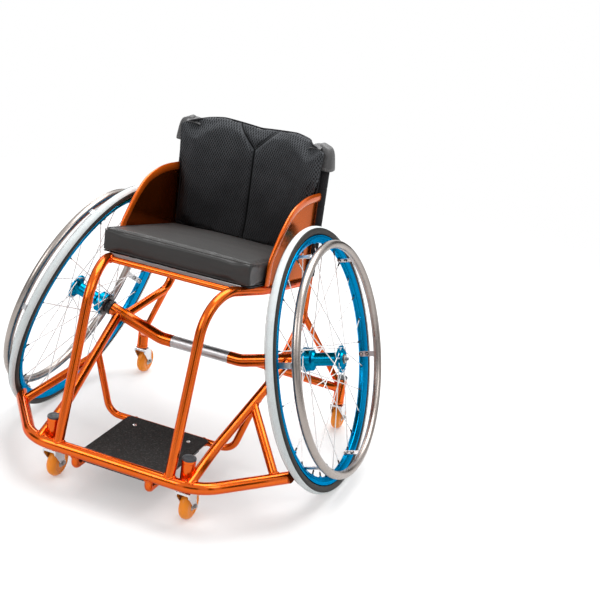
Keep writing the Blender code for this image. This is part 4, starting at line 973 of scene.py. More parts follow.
def spokeLine(hole):
    # a spoke from its elbow at the hub flange to its end under the rim
    pitch = 2 * math.pi / spokeSet["count"]
    angle = (hole + 0.5) * pitch
    leading = 1 if hole % 4 < 2 else -1
    outer = hole % 2 == 0
    flange = hubSet["outer"] if outer else hubSet["inner"]
    face = flange + leading * (hubSet["half"] + spokeSet["radius"] * 0.7)
    spread = (spokeSet["spread"] if outer else -spokeSet["spread"]) + leading * spokeSet["shift"]
    return (onCircle(hubSet["circle"], angle - leading * spokeSet["lean"] * pitch, face),
            onCircle(spokeSet["end"], angle, spread))


def makeHub(label, side):
    half, outer, inner = hubSet["half"], hubSet["outer"], hubSet["inner"]
    drum = inner + half + 0.0165
    profile = [
        (0.0118, 0.056), (0.0150, 0.056), (0.0168, outer + half + 0.001), (0.0185, outer + half),
        (hubSet["flange"], outer + half), (hubSet["flange"], outer - half), (0.0232, outer - half),
        (0.0195, outer - half - 0.0030), (0.0160, outer - half - 0.010), (0.0160, drum + 0.008),
        (0.0200, drum + 0.003), (0.0272, drum), (0.0272, inner + half + 0.002), (0.0302, inner + half),
        (0.0302, inner - half), (0.0118, inner - half)]
    hub = Shape()
    hub.lathe(roundedOutline(profile, 0.0007, 3), 112)
    cutter = Shape()
    for hole in range(hubSet["holes"]):  # scallops and round holes in the outer flange, between the spokes
        angle = (hole + 0.75) * 2 * math.pi / hubSet["holes"]
        for reach, size in ((hubSet["holeCircle"], hubSet["holeSize"]), (hubSet["flange"] + 0.0016, 0.0036)):
            cutter.rod(size, -0.006, 0.006, 24, Matrix.Translation(onCircle(reach, angle, outer)))
    mesh = rolledOn(bored(hub.mesh("hub"), cutter.mesh("holes")), side)
    putOnWheel(label, "Hub", mesh, [hubBlue], "hub_and_spokes")
    trim = Shape()
    cover = inner - half
    bore = hubSet["bore"]
    trim.lathe(roundedOutline([(0.0160, cover), (0.0285, cover), (0.0285, cover - 0.0035),
                               (0.0262, cover - 0.0048), (0.0172, cover - 0.0048),
                               (0.0160, cover - 0.0036)], 0.0006, 3), 80)
    trim.lathe(roundedOutline([(bore, -0.046), (0.0155, -0.046), (0.0150, -0.0526), (0.0146, -0.053),
                               (bore, -0.053)], 0.0004, 2), 64, coat=1)
    # the ring in the outer bore carries the painted reflection of the orange frame
    trim.lathe(roundedOutline([(bore, 0.0500), (0.0119, 0.0500), (0.0119, 0.0552), (0.0100, 0.0556),
                               (bore, 0.0556)], 0.0003, 2), 64, coat=2)
    putOnWheel(label, "HubCover", trim.mesh("hubCover", 30), [blackPlastic, slateRing, paintedReflectionBore])


def makeSpokes(label, side):
    spokes = Shape()
    for hole in range(spokeSet["count"]):
        start, end = spokeLine(hole)
        middle = hubSet["outer"] if hole % 2 == 0 else hubSet["inner"]
        head = start * (1, 1, 0) + (0, 0, 2 * middle - start[2])
        path = roundedPath([head, start, end], (0.0014,), 0.0006)
        spokes.tube(path, spokeSet["radius"], 10)
        spokes.lathe([(0, 0), (0.0021, 0), (0.0021, 0.0006), (0.0012, 0.0013), (0, 0.0014)], 14,
                     axisPlace(head, head * 2 - (head + (start - head) * 0.2)), closed=False)
        seat = unit(end - start)
        place = axisPlace(end + seat * 0.001, end - seat * spokeSet["nipple"])
        size = spokeSet["nippleRadius"]
        spokes.lathe([(0, 0), (size * 1.25, 0), (size * 1.25, 0.0020), (size, 0.0030), (size, 0.0100),
                      (size * 0.75, 0.0125), (0, 0.0127)], 14, place, 1, closed=False)
    putOnWheel(label, "Spokes", rolledOn(spokes.mesh("spokes", 30), side), [spokeSteel, blackPlastic],
               "hub_and_spokes")


def makePushRim(label, side):
    ring = Shape()
    radius, tube, offset, thick = (pushSet[key] for key in ("radius", "tube", "offset", "tabThick"))
    ring.lathe([(radius + tube * math.cos(a), offset + tube * math.sin(a)) for a in circle(28)], 192)
    high = rimSet["radius"] - rimSet["depth"] - 0.0006
    half = pushSet["tabWidth"] / 2
    standing = Matrix.Translation((high, 0, 0)) @ Matrix(
        ((0, 0, -1, 0), (0, 1, 0, 0), (1, 0, 0, 0), (0, 0, 0, 1)))
    corners = [(-0.0060, -half), (0.040, -half), (0.040, half), (-0.0060, half)]
    for tab in range(pushSet["tabs"]):
        turn = Matrix.Rotation((tab + 1.5) * math.pi / 3, 4, "Z")
        ring.plate(roundedOutline(corners, half * 0.85, 5), thick, 0.0006, turn @ standing, 1)
        bead = [turn @ Vector((high - 0.0012 - 0.0016 * math.cos(a), half * math.sin(a) * 0.96,
                               offset - tube * 0.86 + 0.002 * math.cos(a))) for a in circle(24)]
        ring.tube(evenly(np.array(bead), 0.001), 0.0011, 6, closed=True, coat=1)
        for z, reach in ((0.0, 0.0024), (0.0165, 0.0012)):
            spot = axisPlace(turn @ Vector((high - thick, 0, z)), turn @ Vector((high - thick - 0.01, 0, z)))
            ring.rod(0.0047, 0, 0.0008, 24, spot, 2)
            boltHead(ring, spot, 0.0026, reach + 0.0012, 3, hexed=False)
    putOnWheel(label, "PushRim", rolledOn(ring.mesh("pushRim"), side),
               [pushRimMetal, brushedAlu, blackPlastic, brightSteel], "push_rim")


def makeAxle(label):
    collar = Shape()
    start = -0.05313
    profile = [(0.0068, start), (0.0176, start), (0.0190, start - 0.0016), (0.0190, start - 0.0038),
               (0.0182, start - 0.0044), (0.0182, start - 0.0076), (0.0190, start - 0.0082),
               (0.0190, start - 0.0104), (0.0176, start - 0.0120), (0.0068, start - 0.0120)]
    collar.lathe(profile, 72)
    putOnWheel(label, "AxleCollar", collar.mesh("axleCollar", 30), [blackPlastic],
               "axle_collar", "frame")
    pin = Shape()
    profile = [(0.0042, 0.0603), (0.0080, 0.0603), (0.0095, 0.0590), (0.0095, 0.0576), (0.0088, 0.05613),
               (0.00635, 0.05613), (0.00635, -0.0960), (0.0034, -0.0990), (0, -0.0990), (0, 0.046),
               (0.0042, 0.046)]
    pin.lathe(profile, 56)
    putOnWheel(label, "AxlePin", pin.mesh("axlePin", 30), [boltSteel], "axle_pin", "frame")
    button = Shape()
    button.lathe([(0, 0.0533), (0.0039, 0.0533), (0.0039, 0.0650), (0.0034, 0.0659), (0.0018, 0.0663),
                  (0, 0.0663)], 40, closed=False)
    putOnWheel(label, "ReleaseButton", button.mesh("releaseButton", 30), [slateRing],
               "release_button", f"{label}_button")


for label, side in sides.items():
    makeTyre(label)
    makeRim(label, side)
    makeHub(label, side)
    makeSpokes(label, side)
    makePushRim(label, side)
    makeAxle(label)
print("wheels ready")


# Casters: a forged fork under each housing, and a urethane wheel that runs on its bolt
forkSet = {"inner": 0.014, "wall": 0.003, "arm": 0.008, "crownHalf": 0.013, "stem": 0.0055}
sideOn = Matrix(((0, 0, 1, 0), (1, 0, 0, 0), (0, 1, 0, 0), (0, 0, 0, 1)))  # a plate's XY stands in YZ
headOn = Matrix(((1, 0, 0, 0), (0, 0, -1, 0), (0, 1, 0, 0), (0, 0, 0, 1)))  # a plate's XY stands in XZ


def makeFork(label, end, side):
    spot, inner, base = housings[end], forkSet["inner"], housingPlace(end, side)
    outer, arm = inner + forkSet["wall"], forkSet["arm"]
    trail, radius, half = casterSet["trail"], casterSet["radius"], forkSet["crownHalf"]
    top, shoulder = casterSet["crownTop"], casterSet["crownBottom"] - 0.006
    outline = [(trail + arm * math.cos(a), radius + arm * math.sin(a))
               for a in np.linspace(-0.62, 0.38, 22) * math.pi]
    outline += [(half + trail / 2, shoulder), (half, top - 0.0015), (half - 0.0015, top), (0.0015 - half, top),
                (-half, top - 0.0015), (0.00075 - half, shoulder)]
    body = Shape()
    body.plate(roundedOutline(outline, 0.0012, 2), 2 * outer, 0.0009,
               base @ Matrix.Translation((-outer, 0, 0)) @ sideOn)
    slot = Shape()
    arch = rectangle(inner, -0.03, casterSet["crownBottom"])
    slot.plate(roundedOutline(arch, 0.0035, 5), 0.14, 0.0001, base @ Matrix.Translation((0, 0.07, 0)) @ headOn)
    trim = Shape()
    middle = Vector((side * spot["x"], spot["y"] + trail, radius))
    for way in (1, -1):
        outward = Vector((way, 0, 0))
        face = Vector((side * spot["x"] + way * outer, spot["y"] + trail, radius))
        inside = face - outward * forkSet["wall"]
        boltHead(trim, axisPlace(face, face + outward), 0.0044, 0.0034)
        trim.lathe([(0.0042, 0), (0.0066, 0), (0.0066, 0.0014), (0.0042, 0.0014)], 28,
                   axisPlace(inside, inside - outward))
    trim.tube([middle - Vector((outer, 0, 0)), middle + Vector((outer, 0, 0))], 0.0040, 20)
    trim.rod(forkSet["stem"], top - 0.002, 0.1365, 24, base)
    trim.lathe([(0.005, top), (0.0105, top), (0.0118, top + 0.0006), (0.0118, top + 0.0018),
                (0.0096, top + 0.0027), (0.005, top + 0.0027)], 40, base, 1)
    name, carrier = label + end.capitalize(), f"{label}_{end}_swivel"
    putPiece(f"{name}Fork", bored(body.mesh("fork"), slot.mesh("slot")), [forkAlu],
             [f"{label}_{end}_fork"], carrier)
    putPiece(f"{name}ForkBolts", trim.mesh("forkBolts", 30), [boltSteel, blackPlastic],
             body=carrier)


def makeCasterWheel(label, end, side):
    spot, radius, half = housings[end], casterSet["radius"], casterSet["width"] / 2
    upper = [(0.0118, half * 0.90), (0.0128, half * 0.99), (0.0150, half * 0.99), (0.0158, half * 0.86),
             (0.0222, half * 0.86), (0.0234, half * 0.97)]
    upper += [(radius - half * 0.9 * (1 - math.cos(a)), half * math.sin(a))
              for a in np.radians(np.linspace(75, 0, 11))]
    profile = upper + [(r, -h) for r, h in reversed(upper[:-1])]
    wheel = Shape()
    wheel.lathe(roundedOutline(profile, 0.0005, 2), 80)
    core = [(0.00413, half * 0.98), (0.0070, half * 0.98), (0.0072, half * 0.93), (0.0112, half * 0.93),
            (0.0118, half * 0.97), (0.0124, half * 0.86)]
    wheel.lathe(roundedOutline(bothHalves(core), 0.0003, 2), 56, coat=1)
    place = chair @ Matrix.Translation((side * spot["x"], spot["y"] + casterSet["trail"], radius))
    putPiece(f"{label}{end.capitalize()}CasterWheel", wheel.mesh("casterWheel", 30), [urethane, boltSteel],
             [f"{label}_{end}_caster_wheel"], f"{label}_{end}_caster",
             place @ Matrix.Rotation(math.pi / 2, 4, "Y"))


for label, side in sides.items():
    for end in housings:
        makeFork(label, end, side)
        makeCasterWheel(label, end, side)
print("casters ready")


# Side guards: lacquered plates with a thicker rolled border; the plate's orange carries painted shade and the
# border's orange painted light
guardSet = {
    "inner": 0.1872, "recess": 0.0014, "plate": 0.0014, "band": 0.022, "bandThick": 0.010, "rise": 0.1712,
    "front": -0.121, "rear": 0.175,
    "edge": ((0.0, 0.0), (0.007, 0.15), (0.017, 0.29), (0.045, 0.40), (0.10, 0.51), (0.223, 0.723), (0.39, 0.91),
             (0.569, 0.982), (0.747, 1.0), (0.949, 0.974), (1.0, 0.965)),
}


def throughPoints(points, steps=6):
    # a smooth curve through the points
    points = np.array(points, float)
    padded = np.vstack([2 * points[0] - points[1], points, 2 * points[-1] - points[-2]])
    made = []
    for a, b, c, d in zip(padded, padded[1:], padded[2:], padded[3:]):
        for t in np.arange(steps) / steps:
            made.append(0.5 * (2 * b + (c - a) * t + (2 * a - 5 * b + 4 * c - d) * t ** 2
                               + (3 * b - a - 3 * c + d) * t ** 3))
    made.append(points[-1])
    return np.array(made)


def makeGuard(label, side):
    look = guardSet
    base = railHeight(look["front"]) + seatRail["lift"]
    length = look["rear"] - look["front"]
    edge = throughPoints([(look["front"] + a * length, base + up * look["rise"]) for a, up in look["edge"]])
    foot = np.array([look["rear"], railHeight(look["rear"]) + seatRail["lift"]])

    def drawn(by):  # the same curve, further in
        along = units(np.gradient(edge, axis=0))
        inside = edge + np.stack([along[:, 1], -along[:, 0]], 1) * by
        inside[0] = edge[0] + unit(foot - edge[0]) * by
        inside[-1] = edge[-1] - (0, by)
        return inside

    face = look["inner"] + look["recess"]  # the sheet stands a little inside its rolled border
    standing = Matrix.Translation((face if side > 0 else -face - look["plate"], 0, 0)) @ sideOn
    guard = Shape()
    guard.plate(np.vstack([foot, drawn(look["band"] / 2)])[::-1], look["plate"], 0.0003, standing)
    line, inward = drawn(look["band"] / 2), drawn(look["band"])
    across = units(inward - line)
    middle = look["inner"] + look["bandThick"] / 2
    oval = [(math.cos(a) * look["band"] / 2, math.sin(a) * look["bandThick"] / 2) for a in circle(28)]
    guard.loft([[(side * (middle + out), y + wide * toY, z + wide * toZ) for wide, out in oval]
                for (y, z), (toY, toZ) in zip(line, across)], coat=1)
    lip = face + look["plate"] + 0.0008  # a bead closes the border on the outer face
    guard.tube([(side * lip, y, z) for y, z in drawn(look["band"] * 0.98)[2:-1]], 0.0014, 8, coat=1)
    foot0, foot1 = edge[0] + (0.004, -0.0006), foot - (0.004, 0.0006)
    steps = np.linspace(0, 1, 620)
    welded = [(side * (face + look["plate"] * 0.5), *(foot0 + (foot1 - foot0) * share)) for share in steps]
    guard.tube(welded, 0.0017 * (1 + 0.16 * np.sin(steps * 2 * math.pi * 95)), 8)
    putPiece(f"{label}SideGuard", guard.mesh("sideGuard", 30), [shadedGuardPaint, litBorderPaint],
             [f"{label}_side_guard"])


# Footplate: gritted sheet on a thin metal tray, screwed down
footSet = {"half": 0.1105, "front": -0.4017, "rear": -0.136, "bottom": 0.0803, "thick": 0.0040, "corner": 0.015}


def makeFootplate():
    look = footSet
    shape = Shape()
    for inset, low, high, coat in ((0.0, 0.0, 0.0026, 1), (0.0014, 0.0024, 0.0040, 0)):
        outline = roundedOutline(rectangle(look["half"], look["front"], look["rear"], inset), look["corner"], 8)
        shape.plate(outline, high - low, 0.0004, Matrix.Translation((0, 0, look["bottom"] + low)), coat)
    for x in (-0.0725, 0.0725):
        place = Matrix.Translation((x, -0.1775, look["bottom"] + look["thick"] - 0.0002))
        shape.lathe([(0, 0), (0.0054, 0), (0.0050, 0.0009), (0.0022, 0.0012), (0.0019, 0.0003), (0, 0.0003)],
                    36, place, 2, closed=False)
    reach = plateRail["saddle"]
    for side in (1, -1):  # saddles under the tray, round the rails
        middle = side * plateRail["x"]
        for y in (-0.355, -0.185):
            arc = [(middle + reach * math.cos(a), y, plateRail["z"] + reach * math.sin(a))
                   for a in np.linspace(0, -math.pi, 15)]
            line = [(middle + reach, y, 0.0795)] + arc + [(middle - reach, y, 0.0795)]
            shape.loft([[(x + dx, y + dy, z) for dx, dy in rectangle(0.0008, -0.007, 0.007)]
                        for x, y, z in line], coat=1)
    putPiece("footplate", shape.mesh("footplate", 30), [gripTape, blackPlastic, brightSteel],
             ["footplate"])


for label, side in sides.items():
    makeGuard(label, side)
makeFootplate()
print("guards and footplate ready")


# Soft goods
seatSet = {"half": 0.1865, "front": -0.205, "back": 0.176, "low": 0.0151, "thick": 0.054, "crown": 0.006,
           "corner": 0.018, "voxel": 0.005, "cap": 0.009, "shrink": 0.002,
           "fit": {0: (-0.1905, 0.1905), 1: (-0.2085, 0.1765)}}
backSet = {"half": 0.1858, "top": 0.785, "thick": 0.036, "sag": 0.046, "bow": 2.2, "peak": 0.51, "dip": 0.009,
           "shoulder": 0.0176, "apex": 0.726, "veeX": 0.056, "channel": 0.0095, "channelWide": 0.0048,
           "veeDrop": 0.0055, "voxel": 0.0055, "cap": 0.012, "shrink": 0.004, "tuck": 0.027,
           "wing": 0.0065, "fit": {0: (-0.1935, 0.1935), 2: (0.478, 0.787)}}
stuffing = {"frames": 20, "quality": 4, "pressure": 4.0, "finer": 1}
slingFront = postY - 0.009  # the back straps' line between the posts, before they sag
padMesh = spacerMesh("padMesh", backSet)


def meshPoints(mesh):
    points = np.empty(len(mesh.vertices) * 3, np.float32)
    mesh.vertices.foreach_get("co", points)
    return points.reshape(-1, 3).astype(float)


def setPoints(mesh, points):
    mesh.vertices.foreach_set("co", points.astype(np.float32).ravel())
    mesh.update()


def setLay(mesh, lay):
    layer = mesh.attributes.get("lay") or mesh.attributes.new("lay", "FLOAT_VECTOR", "POINT")
    layer.data.foreach_set("vector", lay.astype(np.float32).ravel())


def evaluated(piece):
    scene.view_layers[0].update()
    return bpy.data.meshes.new_from_object(piece.evaluated_get(bpy.context.evaluated_depsgraph_get()))


def smoothed(mesh):
    for face in mesh.polygons:
        face.use_smooth = True
    return mesh


def puffed(mesh, look, hold):
    # the filling pushes a remeshed cover outwards; no point moves further than the cap
    piece = bpy.data.objects.new("puffed", mesh)
    scene.collection.objects.link(piece)
    remesh = piece.modifiers.new("remesh", "REMESH")
    remesh.mode = "VOXEL"
    remesh.voxel_size = look["voxel"]
    piece.data = evaluated(piece)
    piece.modifiers.clear()
    start = meshPoints(piece.data)
    made = start
    cloth = piece.modifiers.new("cloth", "CLOTH")
    cloth.settings.quality = stuffing["quality"]
    cloth.settings.use_pressure = True
    cloth.settings.uniform_pressure_force = look.get("pressure", stuffing["pressure"])
    cloth.settings.effector_weights.gravity = 0
    cloth.point_cache.frame_end = stuffing["frames"]
    for step in range(1, stuffing["frames"] + 1):
        scene.frame_set(step)
    made = meshPoints(evaluated(piece))
    piece.modifiers.clear()
    scene.frame_set(1)
    move = made - start
    reach = np.linalg.norm(move, axis=1)[:, None]
    made = start + move * np.minimum(1, look["cap"] / np.maximum(reach, 1e-9))
    if "fit" in look:  # drawn out to the cover's cut size
        low, high = made.min(0), made.max(0)
        for axis, (least, most) in look["fit"].items():
            made[:, axis] = least + (made[:, axis] - low[axis]) * (most - least) / (high[axis] - low[axis])
    setPoints(piece.data, hold(made))
    finer = piece.modifiers.new("finer", "SUBSURF")
    finer.levels = finer.render_levels = stuffing["finer"]
    done = evaluated(piece)
    bpy.data.objects.remove(piece, do_unlink=True)
    return smoothed(done)


def ripple(points, waves):
    # a little unevenness, the same each time: waves are (direction, amount, shift)
    return sum(amount * np.sin(points @ np.array(way) + shift) for way, amount, shift in waves)


def seatOutline(look, inset, corner, pace=0.006):
    corners = roundedOutline(rectangle(look["half"], look["front"], look["back"], inset), corner, 6)
    return evenly(np.column_stack([corners, np.zeros(len(corners))]), pace)[:, :2]


def makeCushion():
    look = seatSet
    low, high = look["low"], look["low"] + look["thick"]
    shrink = look["shrink"]
    levels = [(0.006, low), (0.0, low + 0.004), (0.0, high - 0.004 - shrink), (0.006, high - shrink)]
    shape = Shape()
    rings = [seatOutline(look, inset + shrink, look["corner"]) for inset, _ in levels]
    steps = min(len(ring) for ring in rings)
    rings = [[(x, y, railHeight(y) + lift) for x, y in ring[:steps]] for ring, (_, lift) in zip(rings, levels)]
    shape.loft(rings)

    def hold(points):
        x, y = points[:, 0], points[:, 1]
        lift = points[:, 2] - railHeight(y)
        across = np.clip(1 - (abs(x) / look["half"]) ** 3, 0, 1)
        middle = (look["front"] + look["back"]) / 2
        along = np.clip(1 - (abs(y - middle) / (look["back"] - middle)) ** 4, 0, 1)
        roof = high + look["crown"] * across * along
        draw = 0.0030 * np.sin(math.pi * np.clip((lift - low) / look["thick"], 0, 1)) ** 2
        lift = np.clip(lift, low, roof)
        x = np.clip(x, -look["half"] + draw, look["half"] - draw)
        y = np.clip(y, look["front"] + draw, look["back"] - draw)
        return np.stack([x, y, railHeight(y) + lift], 1)

    mesh = puffed(shape.mesh("cushion"), look, hold)
    points = meshPoints(mesh)
    lift = points[:, 2] - railHeight(points[:, 1])
    upper = np.clip((lift - low - 0.01) / 0.03, 0, 1)
    waves = [((31, 9, 3), 0.00050, 0.4), ((-13, 47, 9), 0.00035, 1.7), ((74, 21, 38), 0.00022, 2.9),
             ((19, -63, 85), 0.00020, 0.9)]
    points[:, 2] += ripple(points, waves) * upper
    front = np.exp(-((points[:, 1] - look["front"]) / 0.006) ** 2)
    points[:, 1] += front * ripple(points, [((11, 3, 95), 0.00035, 0.3), ((33, 5, 41), 0.00040, 1.1)])
    setPoints(mesh, points)
    cushion = putPiece("seatCushion", mesh, [cushionLeather], ["seat_cushion"])
    trim = Shape()
    for inset, lift, size in ((0.0018, high - 0.0020, 0.0015), (0.0020, low + 0.0024, 0.0013)):
        line = seatOutline(look, inset, look["corner"], 0.003)
        path = [(x, y, railHeight(y) + lift) for x, y in line]
        trim.tube(path, size, 8, closed=True)
    for side in (1, -1):  # the cover's corner seams
        x = side * (look["half"] - 0.0030)
        y = look["front"] + 0.0036
        path = [(x, y, railHeight(y) + lift) for lift in np.linspace(low + 0.003, high - 0.003, 9)]
        trim.tube(path, 0.0010, 8)
    putPiece("cushionPiping", trim.mesh("cushionPiping", 80), [cushionLeather])


def sagAt(x):
    return backSet["sag"] * (1 - np.minimum(abs(x) / postX, 1.0) ** backSet["bow"])


def seamGap(x, z):
    # distance to the pad's sewn lines: a vee from the top edge and a seam down from it
    x = abs(x)
    arm = np.array([backSet["veeX"], backSet["top"] - backSet["apex"]])
    share = np.clip((x * arm[0] + (z - backSet["apex"]) * arm[1]) / (arm @ arm), 0, 1)
    toArm = np.hypot(x - share * arm[0], z - backSet["apex"] - share * arm[1])
    toSeam = np.where(z < backSet["apex"], x, np.hypot(x, z - backSet["apex"]))
    return np.minimum(toArm, toSeam)


def padTop(u):
    share = abs(u)
    rising = backSet["top"] - backSet["dip"] * (1 - share / backSet["peak"])
    beyond = np.maximum(share - backSet["peak"], 0) / (1 - backSet["peak"])
    return np.where(share < backSet["peak"], rising, backSet["top"] - backSet["shoulder"] * beyond ** 1.5)


padBottom = railHeight(postY) + tubing["frame"] + 0.003 + 0.054 + 0.012
cushionTop = railHeight(seatSet["back"]) + seatSet["low"] + seatSet["thick"]


def padHalf(z):
    # above the guards the pad spreads in front of the posts
    return backSet["half"] + backSet["wing"] * np.clip((z - 0.615) / 0.06, 0, 1)


def padFoot(u):
    # the lower edge, tucked behind the cushion between the posts
    return padBottom - backSet["tuck"] * (1 - np.minimum(abs(u) / 0.92, 1) ** 8)


def cornerDrop(x, z):
    # how far the top's corners fall away under the leather caps
    return 0.008 * np.clip((abs(x) / padHalf(z) - 0.80) / 0.20, 0, 1) ** 2


def slingY(x):
    return slingFront - 0.0008 + sagAt(x)


def padBackY(x):
    capY = postY - 0.023 - 0.0015
    ramp = np.maximum((backSet["half"] - abs(x)) / 0.022 - 1, 0)
    return np.minimum(slingY(x), capY + ramp * (slingY(x) - capY))


def padPoint(u, v, front, shrink):
    up = (v + 1) / 2
    bottom = padFoot(u)
    z = bottom + up * (backSet["top"] - bottom) - up ** 3 * (backSet["top"] - padTop(u))
    x = u * (padHalf(z) - shrink)
    if not front:
        return x * 0.985, padBackY(x), z
    edge = max(abs(u), v) ** 8
    thick = (backSet["thick"] - shrink) * (1 - 0.45 * edge)
    foot = 0.018 * (1 - abs(u) ** 2.2) * max((-v - 0.5) / 0.5, 0) ** 1.5  # filled out down to the cushion
    return x, slingY(x) - thick - 0.023 * abs(u) ** 3.5 - foot, z


def padSurface(name, surface, columns, rows):
    # a closed form from a front and a back sheet
    shape = Shape()
    us, vs = np.linspace(-1, 1, columns), np.linspace(-1, 1, rows)
    for front in (True, False):
        shape.loft([[surface(u, v, front) for u in us] for v in vs], looped=False, ends=False)
    for fixed in (-1, 1):
        for edge in ([(u, fixed) for u in us], [(fixed, v) for v in vs]):
            rings = [[surface(u, v, front) for u, v in edge] for front in (True, False)]
            shape.loft(rings, looped=False, ends=False)
    return shape.mesh(name)


def makeBackPad():
    look = backSet
    shrink = look["shrink"]

    def surface(u, v, front):
        x, y, z = padPoint(u, v, front, shrink)
        return float(x), float(y), float(z) - shrink * (0.5 if v > 0 else 0) * abs(v)

    def hold(points):
        half = padHalf(points[:, 2])
        x = np.clip(points[:, 0], -half, half)
        u = x / half
        z = np.clip(points[:, 2], padFoot(u), padTop(u) + 0.001 - cornerDrop(x, points[:, 2]))
        least = seatSet["back"] + 0.0012 - 0.03 * np.clip((z - cushionTop - 0.001) / 0.012, 0, 1)
        y = np.clip(points[:, 1], np.minimum(least, padBackY(x) - 0.002), padBackY(x))
        return np.stack([x, y, z], 1)

    mesh = puffed(padSurface("backPad", surface, 60, 46), look, hold)
    bm = bmesh.new()
    bm.from_mesh(mesh)
    for reach in (0.013, 0.008):  # finer mesh where the channels are sewn
        near = [edge for edge in bm.edges
                if seamGap(edge.verts[0].co.x, edge.verts[0].co.z) < reach and edge.verts[0].normal.y < 0.2]
        bmesh.ops.subdivide_edges(bm, edges=near, cuts=1, use_grid_fill=True)
    bmesh.ops.triangulate(bm, faces=[face for face in bm.faces if len(face.verts) > 4])
    bm.to_mesh(mesh)
    bm.free()
    points = meshPoints(mesh)
    x, y, z = points.T
    facing = np.clip((padBackY(x) - y) / 0.014 - 0.4, 0, 1)
    gap = seamGap(x, z)
    arm = (z - look["apex"]) * look["veeX"] / (look["top"] - look["apex"])
    inside = np.clip((arm - abs(x)) / 0.004, 0, 1)
    y = y + facing * (look["channel"] * np.exp(-(gap / look["channelWide"]) ** 2) + look["veeDrop"] * inside)
    waves = [((24, 0, 13), 0.0009, 0.6), ((9, 0, -31), 0.0007, 2.1), ((55, 0, 47), 0.0004, 1.2)]
    y = y + facing * ripple(points, waves) * np.clip(gap / 0.02, 0, 1)
    setPoints(mesh, np.stack([x, y, z], 1))
    setLay(mesh, np.stack([x - (y - postY) * np.sign(x) * (x / postX) ** 2 * 0.6, z, y], 1))
    pad = putPiece("backPad", smoothed(mesh), [padMesh], ["back_pad"])
    binding = Shape()  # bound edge round the back of the pad
    us = np.linspace(-1, 1, 60)
    around = [(u, 1) for u in us] + [(1, v) for v in us[::-1]]
    around += [(u, -1) for u in us[::-1]] + [(-1, v) for v in us]
    line = np.array([padPoint(u, v, False, 0.001) for u, v in around], float) - (0, 0.002, 0)
    line[:, 2] -= cornerDrop(line[:, 0], line[:, 2]) * np.clip((line[:, 2] - 0.70) / 0.04, 0, 1)
    binding.tube(evenly(line, 0.004), 0.0024, 8, closed=True)
    putPiece("padBinding", binding.mesh("padBinding", 80), [webbing])


def strapShape(path, width, thickness, across=(0, 0, 1)):
    # flat webbing along an open path; across is the direction of its width
    path = np.array(path, float)
    shape = Shape()
    ahead = units(np.gradient(path, axis=0))
    wide = np.broadcast_to(np.array(across, float), path.shape)
    wide = units(wide - ahead * (wide * ahead).sum(1)[:, None])
    normal = np.cross(ahead, wide)
    covered = walked(path)
    places = [(-0.5, -0.2), (-0.47, -0.5), (-0.25, -0.5), (0, -0.5), (0.25, -0.5), (0.47, -0.5), (0.5, -0.2),
              (0.5, 0.2), (0.47, 0.5), (0.25, 0.5), (0, 0.5), (-0.25, 0.5), (-0.47, 0.5), (-0.5, 0.2)]
    rings = [[point + side * width * w + out * thickness * t for w, t in places]
             for point, side, out in zip(path, wide, normal)]
    shape.loft(rings, lay=[[(width * w, along, 0) for w, _ in places] for along in covered])
    return shape, covered[-1]


def thereAndBack(columns):
    # a sheet's columns along one face and back along the other
    return [(column, 0) for column in range(columns + 1)] + [(column, 1) for column in range(columns, -1, -1)]


def makeBackStraps():
    # tension straps between the posts, each wrapped once round them
    look = {"low": 0.440, "high": 0.7150, "number": 6, "gap": 0.0006, "thick": 0.0022, "wrap": 0.0127}
    pitch = (look["high"] - look["low"]) / look["number"]
    width = pitch - look["gap"]
    xs = np.linspace(-0.170, 0.170, 61)
    middle = [(x, slingFront + 0.0015 + float(sagAt(x)), 0) for x in xs]
    wrap = [(postX + look["wrap"] * math.cos(a), postY + look["wrap"] * math.sin(a), 0)
            for a in np.radians(np.linspace(-108, 150, 22))]
    right = mirrored(wrap[::-1], -1)
    for strap in range(look["number"]):
        z = look["low"] + pitch * (strap + 0.5)
        path = np.array(right + middle + wrap) + (0, 0, z)
        shape, length = strapShape(path, width, look["thick"])
        name = f"backStrap{strap + 1}"
        piece = putPiece(name, shape.mesh(name, 60), [webbing], ["back_sling"])


def makeBackFlap():
    # smooth cloth that hangs behind the straps from the top of the pad
    look = {"half": 0.158, "top": 0.768, "bottom": 0.563, "thick": 0.0016, "hem": 0.009}
    columns, rows = 64, 44
    rings, lays = [], []
    for row in range(rows + 1):
        share = row / rows
        z = look["top"] + (look["bottom"] - look["top"]) * share
        ring, lay = [], []
        for column, out in thereAndBack(columns):
            x = -look["half"] + 2 * look["half"] * column / columns
            fold = 0.0011 * math.sin(x * 74 + share * 2.1) * share + 0.0009 * math.sin(x * 31 - share * 5)
            edge = min(look["half"] - abs(x), look["top"] - z, z - look["bottom"])
            stitched = 0.0006 * math.exp(-((edge - look["hem"]) / 0.0012) ** 2)
            y = postY - 0.0045 + float(sagAt(x)) + 0.0028 + fold + (look["thick"] if out else 0)
            y += -stitched if out else stitched * 0.2
            ring.append((x, y, z - 0.004 * (1 - (x / look["half"]) ** 2) * (1 - share)))
            lay.append((x, z, 0))
        rings.append(ring)
        lays.append(lay)
    shape = Shape()
    shape.loft(rings, lay=lays)
    flap = putPiece("backFlap", shape.mesh("backFlap", 60), [flapCloth])
    xs = np.linspace(-look["half"], look["half"], 80)
    width = float(np.hypot(np.diff(xs), np.diff(sagAt(xs))).sum())


